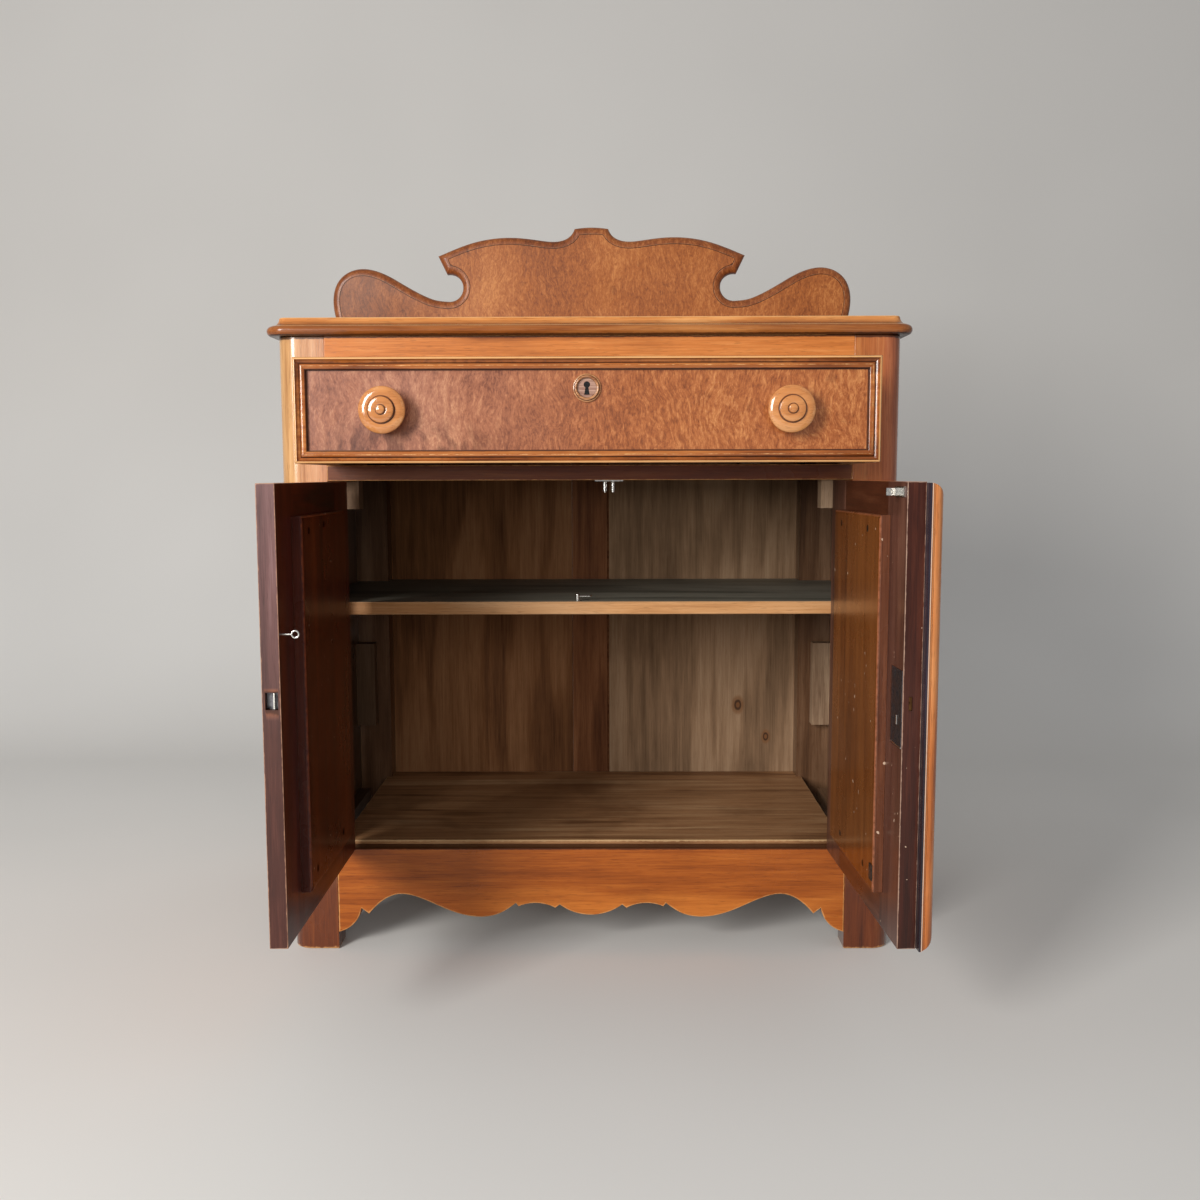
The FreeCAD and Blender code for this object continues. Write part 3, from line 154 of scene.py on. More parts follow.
# %% [markdown]
# ## From arrays to a piece
# A surface is a grid: rows of points times columns of points. Blender's own operators could build
# each mesh step by step; whole arrays are quicker, and each point can carry marks for wear and
# dirt. These helpers number the faces of a grid, weld the seams, turn all faces outwards and hand
# the mesh to the body that carries it. The weighted normal modifier keeps flat wood flat where it
# meets a small rounding.


# %% Grid faces and pieces
def grid_faces(rows, columns, around=False, start=0):
    """Corner numbers of each face: point r, c belongs with its right and lower neighbours."""
    r = np.arange(rows - 1)[:, None]
    c = np.arange(columns if around else columns - 1)[None, :]
    right = (c + 1) % columns
    corners = [r * columns + c, r * columns + right, (r + 1) * columns + right,
               (r + 1) * columns + c]
    return np.stack(corners, -1).reshape(-1, 4) + start


def make_piece(name, points, faces, body, stands_for, finish, pose=at_rest, marks=None,
               crease=32.0):
    """Points in closed millimetres become metres in the frame: pose(points) / 1000 + shift. A
    piece that stands for a CAD node hides that node."""
    mesh = bpy.data.meshes.new(name)
    placed = pose(np.asarray(points, float)) * 0.001 + SHIFT
    mesh.from_pydata(placed.tolist(), [], [list(face) for face in faces])
    for mark, values in (marks or {}).items():
        mesh.attributes.new(mark, "FLOAT", "POINT").data.foreach_set(
            "value", np.asarray(values, np.float32))
    tidy_mesh(mesh, crease)
    piece = new_object(name, mesh)
    mesh.materials.append(finish)
    piece.modifiers.new("flat faces stay flat", "WEIGHTED_NORMAL").keep_sharp = True
    if stands_for:
        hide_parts(*stands_for)
    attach(piece, body)
    return piece


def tidy_mesh(mesh, crease):
    """Welds doubled points, turns faces outwards and marks edges over the crease angle sharp."""
    work = bmesh.new()
    work.from_mesh(mesh)
    bmesh.ops.remove_doubles(work, verts=work.verts, dist=2e-6)
    bmesh.ops.recalc_face_normals(work, faces=work.faces)
    work.to_mesh(mesh)
    work.free()
    mesh.shade_smooth()
    mesh.set_sharp_from_angle(angle=math.radians(crease))


def ripple(points, size, seed):
    """Smooth unevenness between -1 and 1: the mean of seven sine waves in chosen directions."""
    source = np.random.default_rng(seed)
    ways = source.normal(size=(3, 7)) * (2 * math.pi / size)
    return np.sin(points @ ways + source.uniform(0, 6.28, 7)).mean(axis=1) * 1.6


print("a grid of 3 x 4 points has", len(grid_faces(3, 4)), "faces")

# %% [markdown]
# ## Planed boards
# No edge of an old board is still sharp: a plane eased it, and hands and cloths wore it. A Bevel
# modifier would round every edge by the same amount. Here a box with rounded corners is a simple
# formula, and letting the radius wander a little along the edge gives the uneven worn line that
# catches the light.


# %% Board with eased, worn arrises
def ticks(low, high, arris, pitch):
    """Places along one side of a board: close together at the arrises, then evenly spaced."""
    near = arris * np.array([0, 0.3, 0.65, 1.0, 2.2, 5.0])
    near = near[near < (high - low) * 0.42]
    inner = np.linspace(low + near[-1], high - near[-1],
                        max(2, int((high - low) / pitch) + 1))
    return np.concatenate([low + near[:-1], inner, (high - near[:-1])[::-1]])


def board(low, high, arris=1.0, pitch=16.0, seed=1):
    """Skin of a box, each point pulled onto a box smaller by r and pushed out again by r:
    inner = p limited to the smaller box, new p = inner + r (p - inner) / |p - inner|."""
    low, high = np.minimum(low, high), np.maximum(low, high)
    places = [ticks(low[i], high[i], arris, pitch) for i in range(3)]
    points, faces, count = [], [], 0
    for axis in range(3):
        a, b = [i for i in range(3) if i != axis]
        grid = np.meshgrid(places[a], places[b], indexing="ij")
        for side in (low[axis], high[axis]):
            skin = np.empty(grid[0].shape + (3,))
            skin[..., a], skin[..., b], skin[..., axis] = grid[0], grid[1], side
            points.append(skin.reshape(-1, 3))
            faces.append(grid_faces(len(places[a]), len(places[b]), start=count))
            count += grid[0].size
    skin = np.concatenate(points)
    to_arris = np.sort(np.minimum(skin - low, high - skin), axis=1)[:, 1]
    radius = arris * (0.62 + 0.3 * ripple(skin, 55.0, seed))[:, None]
    inner = np.clip(skin, low + radius, high - radius)
    offset = skin - inner
    length = np.linalg.norm(offset, axis=1, keepdims=True)
    worn = np.clip(1 - to_arris / (2.4 * arris), 0, 1)
    return inner + radius * offset / length, np.concatenate(faces).tolist(), worn


def make_board(name, low, high, body, stands_for, finish, pose=at_rest, arris=1.0, seed=1,
               marks=None, pitch=16.0, rub_where=None):
    """A board between two opposite corners. Its wear is kept where rub_where is true, and each
    other mark is a formula of the points."""
    points, faces, worn = board(low, high, arris, pitch, seed)
    found = {"wear": worn * rub_where(points) if rub_where else worn}
    for mark, formula in (marks or {}).items():
        found[mark] = formula(points)
    return make_piece(name, points, faces, body, stands_for, finish, pose, found)


print(len(board((0, 0, 0), (400, 60, 20))[0]), "points round a board of 400 x 60 x 20 mm")

# %% [markdown]
# ## Outlines carried through stations
# Posts, the apron, the splashback and the backing boards are all one idea: a closed outline that
# is carried along an axis and drawn in a little near its ends. A curve object with a taper does
# nearly this, but it scales the outline, where an arris needs it drawn in evenly. The outline
# itself is a chain of arcs, splines and straight runs.


# %% Arcs, splines and chains
def arc(start, middle, end, count=12):
    """Points on the circle through three points: centre from the two bisectors, even angles."""
    a, b, c = (complex(*p) for p in (start, middle, end))
    w = (c - a) / (b - a)
    centre = (b - a) * (w - abs(w) ** 2) / (2j * w.imag) + a
    first = np.angle(a - centre)
    turn = np.angle((c - centre) / (a - centre))
    via = np.angle((b - centre) / (a - centre))
    if (via < 0) != (turn < 0) or abs(via) > abs(turn):
        turn -= math.copysign(2 * math.pi, turn)
    angles = first + turn * np.linspace(0, 1, count)
    points = centre + abs(a - centre) * np.exp(1j * angles)
    return np.column_stack([points.real, points.imag])


def smooth_curve(knots, step=4.0):
    """Natural cubic spline: the second slopes come from one linear system, then each point is
    the cubic between its two knots."""
    knots = np.asarray(knots, float)
    lengths = np.linalg.norm(np.diff(knots, axis=0), axis=1)
    run = np.concatenate([[0], np.cumsum(lengths)])
    h = np.diff(run)
    n = len(knots)
    system, right = np.eye(n), np.zeros((n, 2))
    i = np.arange(1, n - 1)
    system[i, i - 1], system[i, i], system[i, i + 1] = h[:-1], 2 * (h[:-1] + h[1:]), h[1:]
    slope = np.diff(knots, axis=0) / h[:, None]
    right[1:-1] = 6 * np.diff(slope, axis=0)
    bend = np.linalg.solve(system, right)
    t = np.linspace(0, run[-1], max(3, int(run[-1] / step)))
    k = np.clip(np.searchsorted(run, t, side="right") - 1, 0, n - 2)
    u, v = (t - run[k])[:, None], (run[k + 1] - t)[:, None]
    hk = h[k][:, None]
    return ((bend[k] * v ** 3 + bend[k + 1] * u ** 3) / (6 * hk)
            + (knots[k] / hk - bend[k] * hk / 6) * v
            + (knots[k + 1] / hk - bend[k + 1] * hk / 6) * u)


def joined(*runs):
    """Runs of points end to end, without the points that repeat."""
    line = np.concatenate([np.asarray(run, float) for run in runs])
    keep = np.linalg.norm(line - np.roll(line, 1, axis=0), axis=1) > 1e-3
    return line[keep]


def filled_in(loop, step):
    """Extra points on long runs: each point's run is cut into equal parts shorter than step."""
    run = np.roll(loop, -1, axis=0) - loop
    parts = np.ceil(np.linalg.norm(run, axis=1) / step).astype(int)
    owner = np.repeat(np.arange(len(loop)), parts)
    first = np.concatenate([[0], np.cumsum(parts)[:-1]])
    share = (np.arange(len(owner)) - first[owner]) / parts[owner]
    return loop[owner] + share[:, None] * run[owner]


def rounded_outline(corners, radii, turns=8):
    """A polygon whose corner k is replaced by an arc of radius k, tangent to both its sides."""
    runs = []
    corners = np.asarray(corners, float)
    for k, radius in enumerate(radii):
        here = corners[k]
        back = corners[k - 1] - here
        on = corners[(k + 1) % len(corners)] - here
        back, on = back / np.linalg.norm(back), on / np.linalg.norm(on)
        half = math.acos(np.clip(back @ on, -1, 1)) / 2
        reach = radius / math.tan(half)
        middle = (back + on) / np.linalg.norm(back + on)
        crown = here + middle * (radius / math.sin(half) - radius)
        runs.append(arc(here + back * reach, crown, here + on * reach, turns))
    return joined(*runs)


print(len(arc((0, 0), (1, 1), (2, 0))), "points on a half circle")

# %% [markdown]
# Each station of a loft says how far along the axis it is and how far the outline has been drawn
# in there. Near a sharp corner a drawn-in outline would cross itself, so points that have passed
# the corner are gathered on it.


# %% Lofts
def outward_of(loop):
    """Unit normals of a closed outline: its tangent turned a quarter, pointing away from it."""
    tangent = np.roll(loop, -1, axis=0) - np.roll(loop, 1, axis=0)
    normal = np.column_stack([tangent[:, 1], -tangent[:, 0]])
    x, y = loop.T
    area = np.sum(x * np.roll(y, -1) - y * np.roll(x, -1))
    return normal / np.linalg.norm(normal, axis=1, keepdims=True) * np.sign(area)


def drawn_in(loop, outward, distance):
    """The outline moved in by a distance. Points that end nearer to the outline than that lie
    past a corner, and are gathered where the two sides meet."""
    moved = loop - outward * distance
    too_little_to_cross = 2.5
    if distance < too_little_to_cross:
        return moved
    start, end = loop, np.roll(loop, -1, axis=0)
    along = end - start
    t = ((moved[:, None] - start) * along).sum(-1) / (along ** 2).sum(-1)
    nearest = start + np.clip(t, 0, 1)[..., None] * along
    gap = np.linalg.norm(moved[:, None] - nearest, axis=-1).min(axis=1)
    good = gap > distance * 0.975
    index = np.arange(len(loop))
    shift = int(index[good][0])
    moved, good = np.roll(moved, -shift, axis=0), np.roll(good, -shift)
    before = np.maximum.accumulate(np.where(good, index, 0))
    after = np.minimum.accumulate(np.where(good, index, len(loop))[::-1])[::-1]
    meeting = (moved[before] + moved[after % len(loop)]) / 2
    return np.roll(np.where(good[:, None], moved, meeting), shift, axis=0)


def loft(loop, stations):
    """Grid of outline points times stations: row k is the outline drawn in by inset k and placed
    at depth k. Both ends are closed by one flat face."""
    outward = outward_of(loop)
    rows = [np.column_stack([drawn_in(loop, outward, inset), np.full(len(loop), depth)])
            for depth, inset in stations]
    faces = grid_faces(len(rows), len(loop), around=True).tolist()
    faces.append(list(range(len(loop))))
    faces.append(list(range((len(rows) - 1) * len(loop), len(rows) * len(loop))))
    return np.concatenate(rows), faces


def eased(low, high, arris, turns=4):
    """Stations of a plain thickness whose two ends are rounded by the arris radius."""
    angle = np.linspace(0, math.pi / 2, turns + 1)
    near = [(low + arris * (1 - math.sin(a)), arris * (1 - math.cos(a))) for a in angle[::-1]]
    far = [(high - arris * (1 - math.sin(a)), arris * (1 - math.cos(a))) for a in angle]
    return near + far


print(len(eased(0, 20, 1.0)), "stations round both arrises of a 20 mm board")

# %% [markdown]
# ## Colours and the making of materials
# A finish is a small network of nodes. To keep each recipe readable, one helper class adds a node
# and wires it in a single call. Colours are given as they look on a screen, and changed to the
# linear values that the shader works with.


# %% A short way to wire nodes
def paint(red, green, blue):
    """Screen colour to linear light: c / 12.92 below 0.04045, else ((c + 0.055) / 1.055)^2.4."""
    c = np.array([red, green, blue]) / 255
    linear = np.where(c <= 0.04045, c / 12.92, ((c + 0.055) / 1.055) ** 2.4)
    return (*linear.tolist(), 1.0)


class Recipe:
    """One material's nodes. Each method adds nodes and returns the socket that they end in."""

    def __init__(self, name):
        self.material = bpy.data.materials.new(name)
        self.material.use_nodes = True
        self.tree = self.material.node_tree
        self.shader = self.tree.nodes["Principled BSDF"]
        self.place = self.add("ShaderNodeTexCoord").outputs["Object"]

    def add(self, kind, **settings):
        """A new node with its settings."""
        node = self.tree.nodes.new(kind)
        for key, value in settings.items():
            setattr(node, key, value)
        return node

    def feed(self, socket, value):
        """Wires another socket to this one, or puts a number or a colour on it."""
        if isinstance(value, bpy.types.NodeSocket):
            self.tree.links.new(value, socket)
        else:
            socket.default_value = value

    def math(self, operation, *values):
        """One sum: ADD is a + b, MULTIPLY is a b, MULTIPLY_ADD is a b + c."""
        node = self.add("ShaderNodeMath", operation=operation)
        for socket, value in zip(node.inputs, values):
            self.feed(socket, value)
        return node.outputs[0]

    def swayed(self, base, pattern, amount):
        """A pattern makes a value rise and fall: base + amount (pattern - 0.5)."""
        return self.math("MULTIPLY_ADD", self.math("SUBTRACT", pattern, 0.5), amount, base)

    def along(self, axis):
        """How far the point lies along one axis, in metres."""
        node = self.add("ShaderNodeSeparateXYZ")
        self.feed(node.inputs[0], self.place)
        return node.outputs[axis]

    def distance(self, place):
        """How far a place is from zero: the root of x x + y y + z z."""
        node = self.add("ShaderNodeVectorMath", operation="LENGTH")
        self.feed(node.inputs[0], place)
        return node.outputs["Value"]

    def stretched(self, scale=(1, 1, 1), move=(0, 0, 0)):
        """The point's place, times a scale, plus a move."""
        node = self.add("ShaderNodeMapping")
        self.feed(node.inputs["Vector"], self.place)
        node.inputs["Location"].default_value = move
        node.inputs["Scale"].default_value = scale
        return node.outputs[0]

    def noise(self, place, scale, detail=2.0, rough=0.5, distortion=0.0, output="Fac"):
        """Smooth chance between 0 and 1, with about scale bumps to the metre."""
        node = self.add("ShaderNodeTexNoise")
        self.feed(node.inputs["Vector"], place)
        for key, value in (("Scale", scale), ("Detail", detail), ("Roughness", rough),
                           ("Distortion", distortion)):
            node.inputs[key].default_value = value
        return node.outputs[output]

    def between(self, value, low, high, to_low=0.0, to_high=1.0):
        """Goes from to_low to to_high in an S while the value goes from low to high."""
        node = self.add("ShaderNodeMapRange", interpolation_type="SMOOTHSTEP")
        self.feed(node.inputs[0], value)
        for k, number in enumerate((low, high, to_low, to_high)):
            node.inputs[k + 1].default_value = number
        return node.outputs[0]

    def ramp(self, value, *stops):
        """A colour for each value, read between stops of (position, colour)."""
        node = self.add("ShaderNodeValToRGB")
        self.feed(node.inputs[0], value)
        for end in (0, -1):
            node.color_ramp.elements[end].position, node.color_ramp.elements[end].color = stops[end]
        for position, colour in stops[1:-1]:
            node.color_ramp.elements.new(position).color = colour
        return node.outputs[0]

    def mix(self, amount, a, b, how="MIX"):
        """Colour a where the amount is 0, and b where it is 1."""
        node = self.add("ShaderNodeMix", data_type="RGBA", blend_type=how)
        self.feed(node.inputs[0], amount)
        self.feed(node.inputs[6], a)
        self.feed(node.inputs[7], b)
        return node.outputs[2]

    def darker(self, colour, tint):
        """The colour times a dark tint."""
        return self.mix(1.0, colour, (*tint, 1.0), "MULTIPLY")

    def mark(self, name):
        """A mark that the points of the mesh carry."""
        return self.add("ShaderNodeAttribute", attribute_name=name).outputs["Fac"]

    def bump(self, height, strength, distance):
        """Shades the surface as if it rose by the height."""
        node = self.add("ShaderNodeBump")
        node.inputs["Strength"].default_value = strength
        node.inputs["Distance"].default_value = distance
        self.feed(node.inputs["Height"], height)
        self.feed(self.shader.inputs["Normal"], node.outputs[0])

    def surface(self, **values):
        """Fills the shader's own sockets and gives the finished material back."""
        for key, value in values.items():
            self.feed(self.shader.inputs[key.replace("_", " ")], value)
        return self.material


print("middle grey, 128 on a screen, is", round(paint(128, 128, 128)[0], 3), "in linear light")

# %% [markdown]
# ## Polished walnut
# Walnut shows three things at three sizes. Broad figure runs along the board and closes into long
# loops. Fine fibres and dark pores, a few tenths of a millimetre wide, run the same way. Over all
# lie old shellac, grime in patches and pale rubbed arrises. The figure is noise squeezed across
# the grain, with its height read as contour lines; fibres and pores are finer noise, squeezed
# more.


# %% Grain, tones, rubbing, dirt and painted shade
def along_grain(axis, squeeze):
    """A scale that squeezes a noise along one axis, which draws it out into fibres."""
    scale = [1.0, 1.0, 1.0]
    scale["xyz".index(axis)] = squeeze
    return scale


TONE_STOPS = (0.22, 0.47, 0.74)


def tones(r, tone, colours):
    """Dark, middle and light of one finish, read by the tone's height."""
    return r.ramp(tone, *zip(TONE_STOPS, (paint(*c) for c in colours)))


def rubbed_dirty_and_shaded(r, colour, move, worn, rub, dirt_and_shade):
    """Old dirt, and painted shade in recesses, gaps and under overhangs, darken where the
    dirt-and-shade mark is high; bare wood shows where wear is high; a noise of a few millimetres
    breaks both edges up. Returns the colour and the sum of both shares."""
    chips = r.noise(r.stretched(move=move), 130.0, 4.0, 0.65)
    darkening = r.between(r.math("ADD", r.mark("grime_and_shade"), chips), 0.9, 1.35, 0.0, 0.85)
    colour = r.mix(darkening, colour, paint(*dirt_and_shade))
    rubbed = r.math("MULTIPLY", r.between(r.math("ADD", r.mark("wear"), chips), 1.0, 1.35), rub)
    return r.mix(rubbed, colour, paint(*worn)), r.math("ADD", rubbed, darkening)


print("fibres that run up a board use the scale", along_grain("z", 0.03))

# %% [markdown]
# Some boards have more to tell. The bare back shows two knots, the inside carries painted shade of
# the left door on its left, the walls are polished on the outside only, and the doors carry pale
# specks. Each could be painted by hand, but worked out from the place it stays sharp at any
# distance. Every helper takes a colour and gives a new one back.


# %% Knots, painted shade, bare insides and specks
RAW_BROWN = ((62, 40, 26), (102, 72, 50), (136, 104, 78))
KNOT_RINGS = ((1.5, 0.9, 0.7, (126, 84, 50)), (0.85, 0.6, 0.8, (44, 22, 10)),
              (0.5, 0.3, 0.7, (136, 90, 54)))


def knotted(r, colour, streak, knots):
    """A knot, given by x, z and radius, is three rings inside each other: each is painted where
    the distance from the middle, made uneven by the streaks, is below a share of the radius."""
    for x, z, radius in knots:
        away = r.distance(r.stretched((1, 0, 0.62), (-x, 0, -0.62 * z)))
        away = r.swayed(away, streak, 0.3 * radius)
        for outer, inner, strength, ring in KNOT_RINGS:
            share = r.between(away, outer * radius, inner * radius, 0.0, strength)
            colour = r.mix(share, colour, paint(*ring))
    return colour


def painted_left_shade(r, colour, left_light):
    """Painted shadow of the left door: darkens the left half; the less the left light, the darker
    the wood.
    """
    left = r.between(r.along("X"), 0.10, -0.22, 0.0, 1.0 - left_light)
    return r.mix(left, colour, r.darker(colour, (0.16, 0.10, 0.06)))


def bare_inside(r, colour, tone, wall):
    """Bare brown wood wherever x is nearer to the middle than the wall's inner face."""
    inside = r.between(r.math("ABSOLUTE", r.along("X")), wall, wall - 0.001)
    return r.mix(inside, colour, tones(r, tone, RAW_BROWN))


def specked(r, colour, move, amount):
    """Pale specks where a fine noise, raised by amount times a broad one, passes a level."""
    fine = r.noise(r.stretched(move=move), 150.0, 1.0, 0.4)
    broad = r.noise(r.stretched(move=move), 11.0, 2.0)
    height = r.math("MULTIPLY_ADD", broad, amount, fine)
    level = 0.78 + 0.5 * amount
    return r.mix(r.between(height, level, level + 0.02), colour, paint(206, 178, 154))


print(len(KNOT_RINGS), "rings make a knot")

# %% [markdown]
# One function mixes every wood. Each board is cut from its own part of the log, so it has a
# number, and no two boards show the same figure.


# %% The recipe of a wood
def wood(name, log, dark, middle, light, grain="z", figure=14.0, contours=5.0, warp=0.6,
         gloss=0.33, worn=(232, 170, 104), grime=0.22, coat=0.2, pores=0.35, soft=1.0, rub=0.7,
         spread=0.8, dirt_and_shade_colour=(58, 26, 10), raw_inside=None, chipped=0.0, left_light=1.0, knots=(),
         **others):
    """Tone = 0.47 + spread (figure - 0.5) + a sine of the figure for its contour lines + fibres
    and streaks, read in three tones. Then come pores, grime, dirt with painted shade where the
    dirt-and-shade mark asks for it, and wear. Each entry of others names a mark on the mesh and the
    three tones that it brings in, and a later entry lies over the earlier ones."""
    r = Recipe(name)
    move = tuple(log * step for step in (0.37, 0.21, 0.13))

    def fibrous(squeeze, scale, *settings):
        """Noise drawn out along the grain."""
        return r.noise(r.stretched(along_grain(grain, squeeze), move), scale, *settings)

    broad = fibrous(0.12, figure, 3.0, 0.5, warp)
    fibre = fibrous(0.03, 620.0, 3.0, 0.6)
    streak = fibrous(0.05, 110.0, 3.0, 0.6)
    pore = r.math("MULTIPLY", r.between(fibrous(0.055, 1150.0, 1.0), 0.60, 0.70), pores)
    lines = r.math("SINE", r.math("MULTIPLY", broad, contours * 2 * math.pi))
    tone = r.math("MULTIPLY_ADD", lines, 0.06, r.swayed(0.47, broad, spread))
    tone = r.swayed(r.swayed(tone, fibre, 0.36 * soft), streak, 0.5 * soft)
    colour = tones(r, tone, (dark, middle, light))
    for mark, colours in others.items():
        colour = r.mix(r.mark(mark), colour, tones(r, tone, colours))
    if raw_inside:
        colour = bare_inside(r, colour, tone, raw_inside)
    colour = knotted(r, colour, streak, knots)
    if left_light < 1:
        colour = painted_left_shade(r, colour, left_light)
    deep = r.darker(colour, (0.30, 0.24, 0.20))
    colour = r.mix(pore, colour, deep)
    patches = r.noise(r.stretched(move=move), 7.0, 4.0, 0.62)
    colour = r.mix(r.between(patches, 0.50, 0.74, 0.0, grime), colour, deep)
    colour, used = rubbed_dirty_and_shaded(r, colour, move, worn, rub, dirt_and_shade_colour)
    if chipped:
        colour = specked(r, colour, move, chipped)
    rough = r.math("MULTIPLY_ADD", used, 0.18, r.swayed(gloss, patches, 0.35))
    r.bump(r.math("SUBTRACT", r.math("MULTIPLY", fibre, 0.5), pore), 0.2, 0.0004)
    return r.surface(Base_Color=colour, Roughness=rough, Coat_Weight=coat, Coat_Roughness=0.14,
                     Specular_IOR_Level=0.3)


print("wood recipe ready")

# %% [markdown]
# Outside, the walnut is warm and polished. The left post, which the window lights, is painted
# paler as if lit, and the right post darker as if in shade; the feet are dark, and the step of the
# top is painted paler than its nose, as light falls on the step from above. Every wood gives its
# dark, middle and light tone as seen on a screen.

# %% Woods of the outside
FOOT = ((60, 24, 8), (108, 50, 18), (150, 82, 36))
walnut_across = wood("walnut_across", 1, (150, 80, 30), (206, 122, 56), (236, 160, 90),
                     grain="x", contours=3.0, figure=20.0)
# The top's middle tones match its nose in shade, and the step tones paint the upward-facing step
# lighter, as lit from above.
top_wood = wood("walnut_top", 3, (98, 48, 16), (152, 86, 38), (190, 124, 66), grain="x",
                gloss=0.22, coat=0.4, grime=0.15, figure=20.0, worn=(244, 190, 126),
                dirt_and_shade_colour=(40, 18, 8), step=((168, 96, 42), (216, 140, 74), (244, 182, 114)))
# The divider is painted darker, as it lies in shade under the drawer.
divider_shaded_wood = wood("walnut_divider_shaded", 4, (64, 26, 8), (104, 50, 20), (134, 78, 38), grain="x")
moulding_wood = wood("walnut_moulding", 5, (104, 50, 18), (166, 94, 42), (206, 136, 72),
                     grain="x", figure=20.0, gloss=0.2, coat=0.5, rub=0.75,
                     worn=(238, 186, 122), dirt_and_shade_colour=(60, 26, 12))
# The left post's tones are painted paler, as lit by the window, and the right post's darker, as in
# shade.
post_left_lit_wood = wood("walnut_post_left_lit", 6, (156, 104, 58), (212, 162, 108), (236, 196, 146),
                      contours=3.0, gloss=0.24, coat=0.6, grime=0.1,
                      face=((150, 96, 64), (204, 146, 108), (228, 184, 148)), foot=FOOT)
post_right_shaded_wood = wood("walnut_post_right_shaded", 7, (122, 58, 34), (184, 104, 64), (214, 144, 96),
                       contours=3.0, gloss=0.22, coat=0.6,
                       face=((112, 54, 20), (182, 104, 48), (214, 146, 84)), foot=FOOT)
apron_wood = wood("walnut_apron", 8, (110, 48, 10), (166, 86, 28), (200, 116, 46), grain="x",
                  figure=12.0, contours=3.0, grime=0.3, warp=1.2)
knob_wood = wood("walnut_knob", 9, (146, 82, 38), (204, 134, 76), (232, 172, 112), grain="x",
                 gloss=0.14, coat=0.9, grime=0.1, soft=0.6, dirt_and_shade_colour=(84, 38, 16),
                 worn=(226, 176, 128))
side_wood = wood("walnut_side", 25, (106, 54, 26), (162, 96, 50), (196, 132, 80), figure=8.0,
                 raw_inside=0.358)
rear_wood = wood("walnut_rear_post", 26, (96, 46, 22), (150, 86, 46), (188, 122, 72),
                 raw_inside=0.3685)
print("woods of the outside mixed, from", walnut_across.name, "to", rear_wood.name)

# %% [markdown]
# A door is warm walnut outside and nearly black old varnish inside. Where the doors meet, the left
# door's edge carries a painted greyish sheen above and warmer tones below. The marks inner and
# edge, which each door board carries, bring those tones in.

# %% Woods of the doors
WARM = dict(dark=(146, 74, 24), middle=(214, 126, 54), light=(238, 162, 88))
VARNISH = ((36, 8, 2), (84, 24, 8), (122, 50, 20))
# The left door's free edge takes a painted greyish sheen of the window above, warm tones below.
EDGE_SHEEN = ((74, 48, 46), (116, 82, 80), (150, 118, 118))
DARK_EDGE = ((34, 12, 8), (64, 28, 18), (98, 50, 34))
STILE_INSIDE = ((56, 32, 26), (94, 58, 46), (124, 84, 68))
PALE = (196, 150, 120)
door_wood = wood("walnut_door", 10, **WARM, inner=VARNISH, edge=EDGE_SHEEN, worn=PALE,
                 edge_low=((48, 24, 20), (74, 40, 33), (104, 62, 52)))
door_right_wood = wood("walnut_door_right", 11, **WARM, inner=STILE_INSIDE, edge=DARK_EDGE,
                       worn=(206, 170, 148), rub=0.6, chipped=0.35)
door_rail_wood = wood("walnut_door_rail", 12, **WARM, grain="y", inner=VARNISH, worn=PALE)
right_rail_wood = wood("walnut_right_rail", 13, **WARM, grain="y", worn=PALE,
                       inner=((50, 22, 12), (84, 42, 24), (114, 68, 44)))
# The base tones paint shade and a bluish reflection on the strip's flat foot.
lap_wood = wood("walnut_lap", 14, (138, 64, 26), (208, 122, 62), (238, 164, 104),
                contours=4.0, gloss=0.28, coat=0.4, worn=(232, 206, 184), rub=0.85, figure=20.0,
                base=((18, 14, 18), (40, 34, 44), (66, 58, 72)))
backing_left = wood("backing_left", 15, (46, 8, 0), (80, 20, 0), (120, 48, 10), figure=10.0,
                    worn=(130, 62, 28), coat=0.15, gloss=0.3, chipped=0.2,
                    side=((30, 6, 2), (62, 18, 6), (96, 40, 18)))
backing_right = wood("backing_right", 16, (66, 30, 6), (108, 56, 18), (138, 80, 34),
                     figure=10.0, chipped=0.25, worn=(164, 100, 70), coat=0.3, gloss=0.28,
                     side=((44, 20, 12), (80, 42, 26), (116, 70, 48)))
print("woods of the doors mixed, from", door_wood.name, "to", backing_right.name)

# %% [markdown]
# Inside, nothing was ever polished. The shelf has gone grey, the back boards are three different
# leftovers, and the drawer is made of a whiter wood.

# %% Woods of the inside
raw_wood = wood("raw_back", 17, (100, 76, 54), (142, 112, 84), (172, 142, 112),
                figure=16.0, contours=4.0, gloss=0.72, coat=0.0, worn=(176, 152, 124),
                pores=0.2, spread=0.7, knots=((0.219, 0.235, 0.0075), (0.262, 0.186, 0.0055)))
raw_left = wood("raw_back_left", 18, (80, 48, 26), (124, 82, 50), (156, 112, 76),
                figure=16.0, contours=4.0, gloss=0.7, coat=0.0, worn=(160, 120, 84), pores=0.2)
raw_middle = wood("raw_back_middle", 19, (86, 50, 30), (126, 80, 50), (156, 108, 74),
                  gloss=0.7, coat=0.0, worn=(160, 110, 74), pores=0.3)
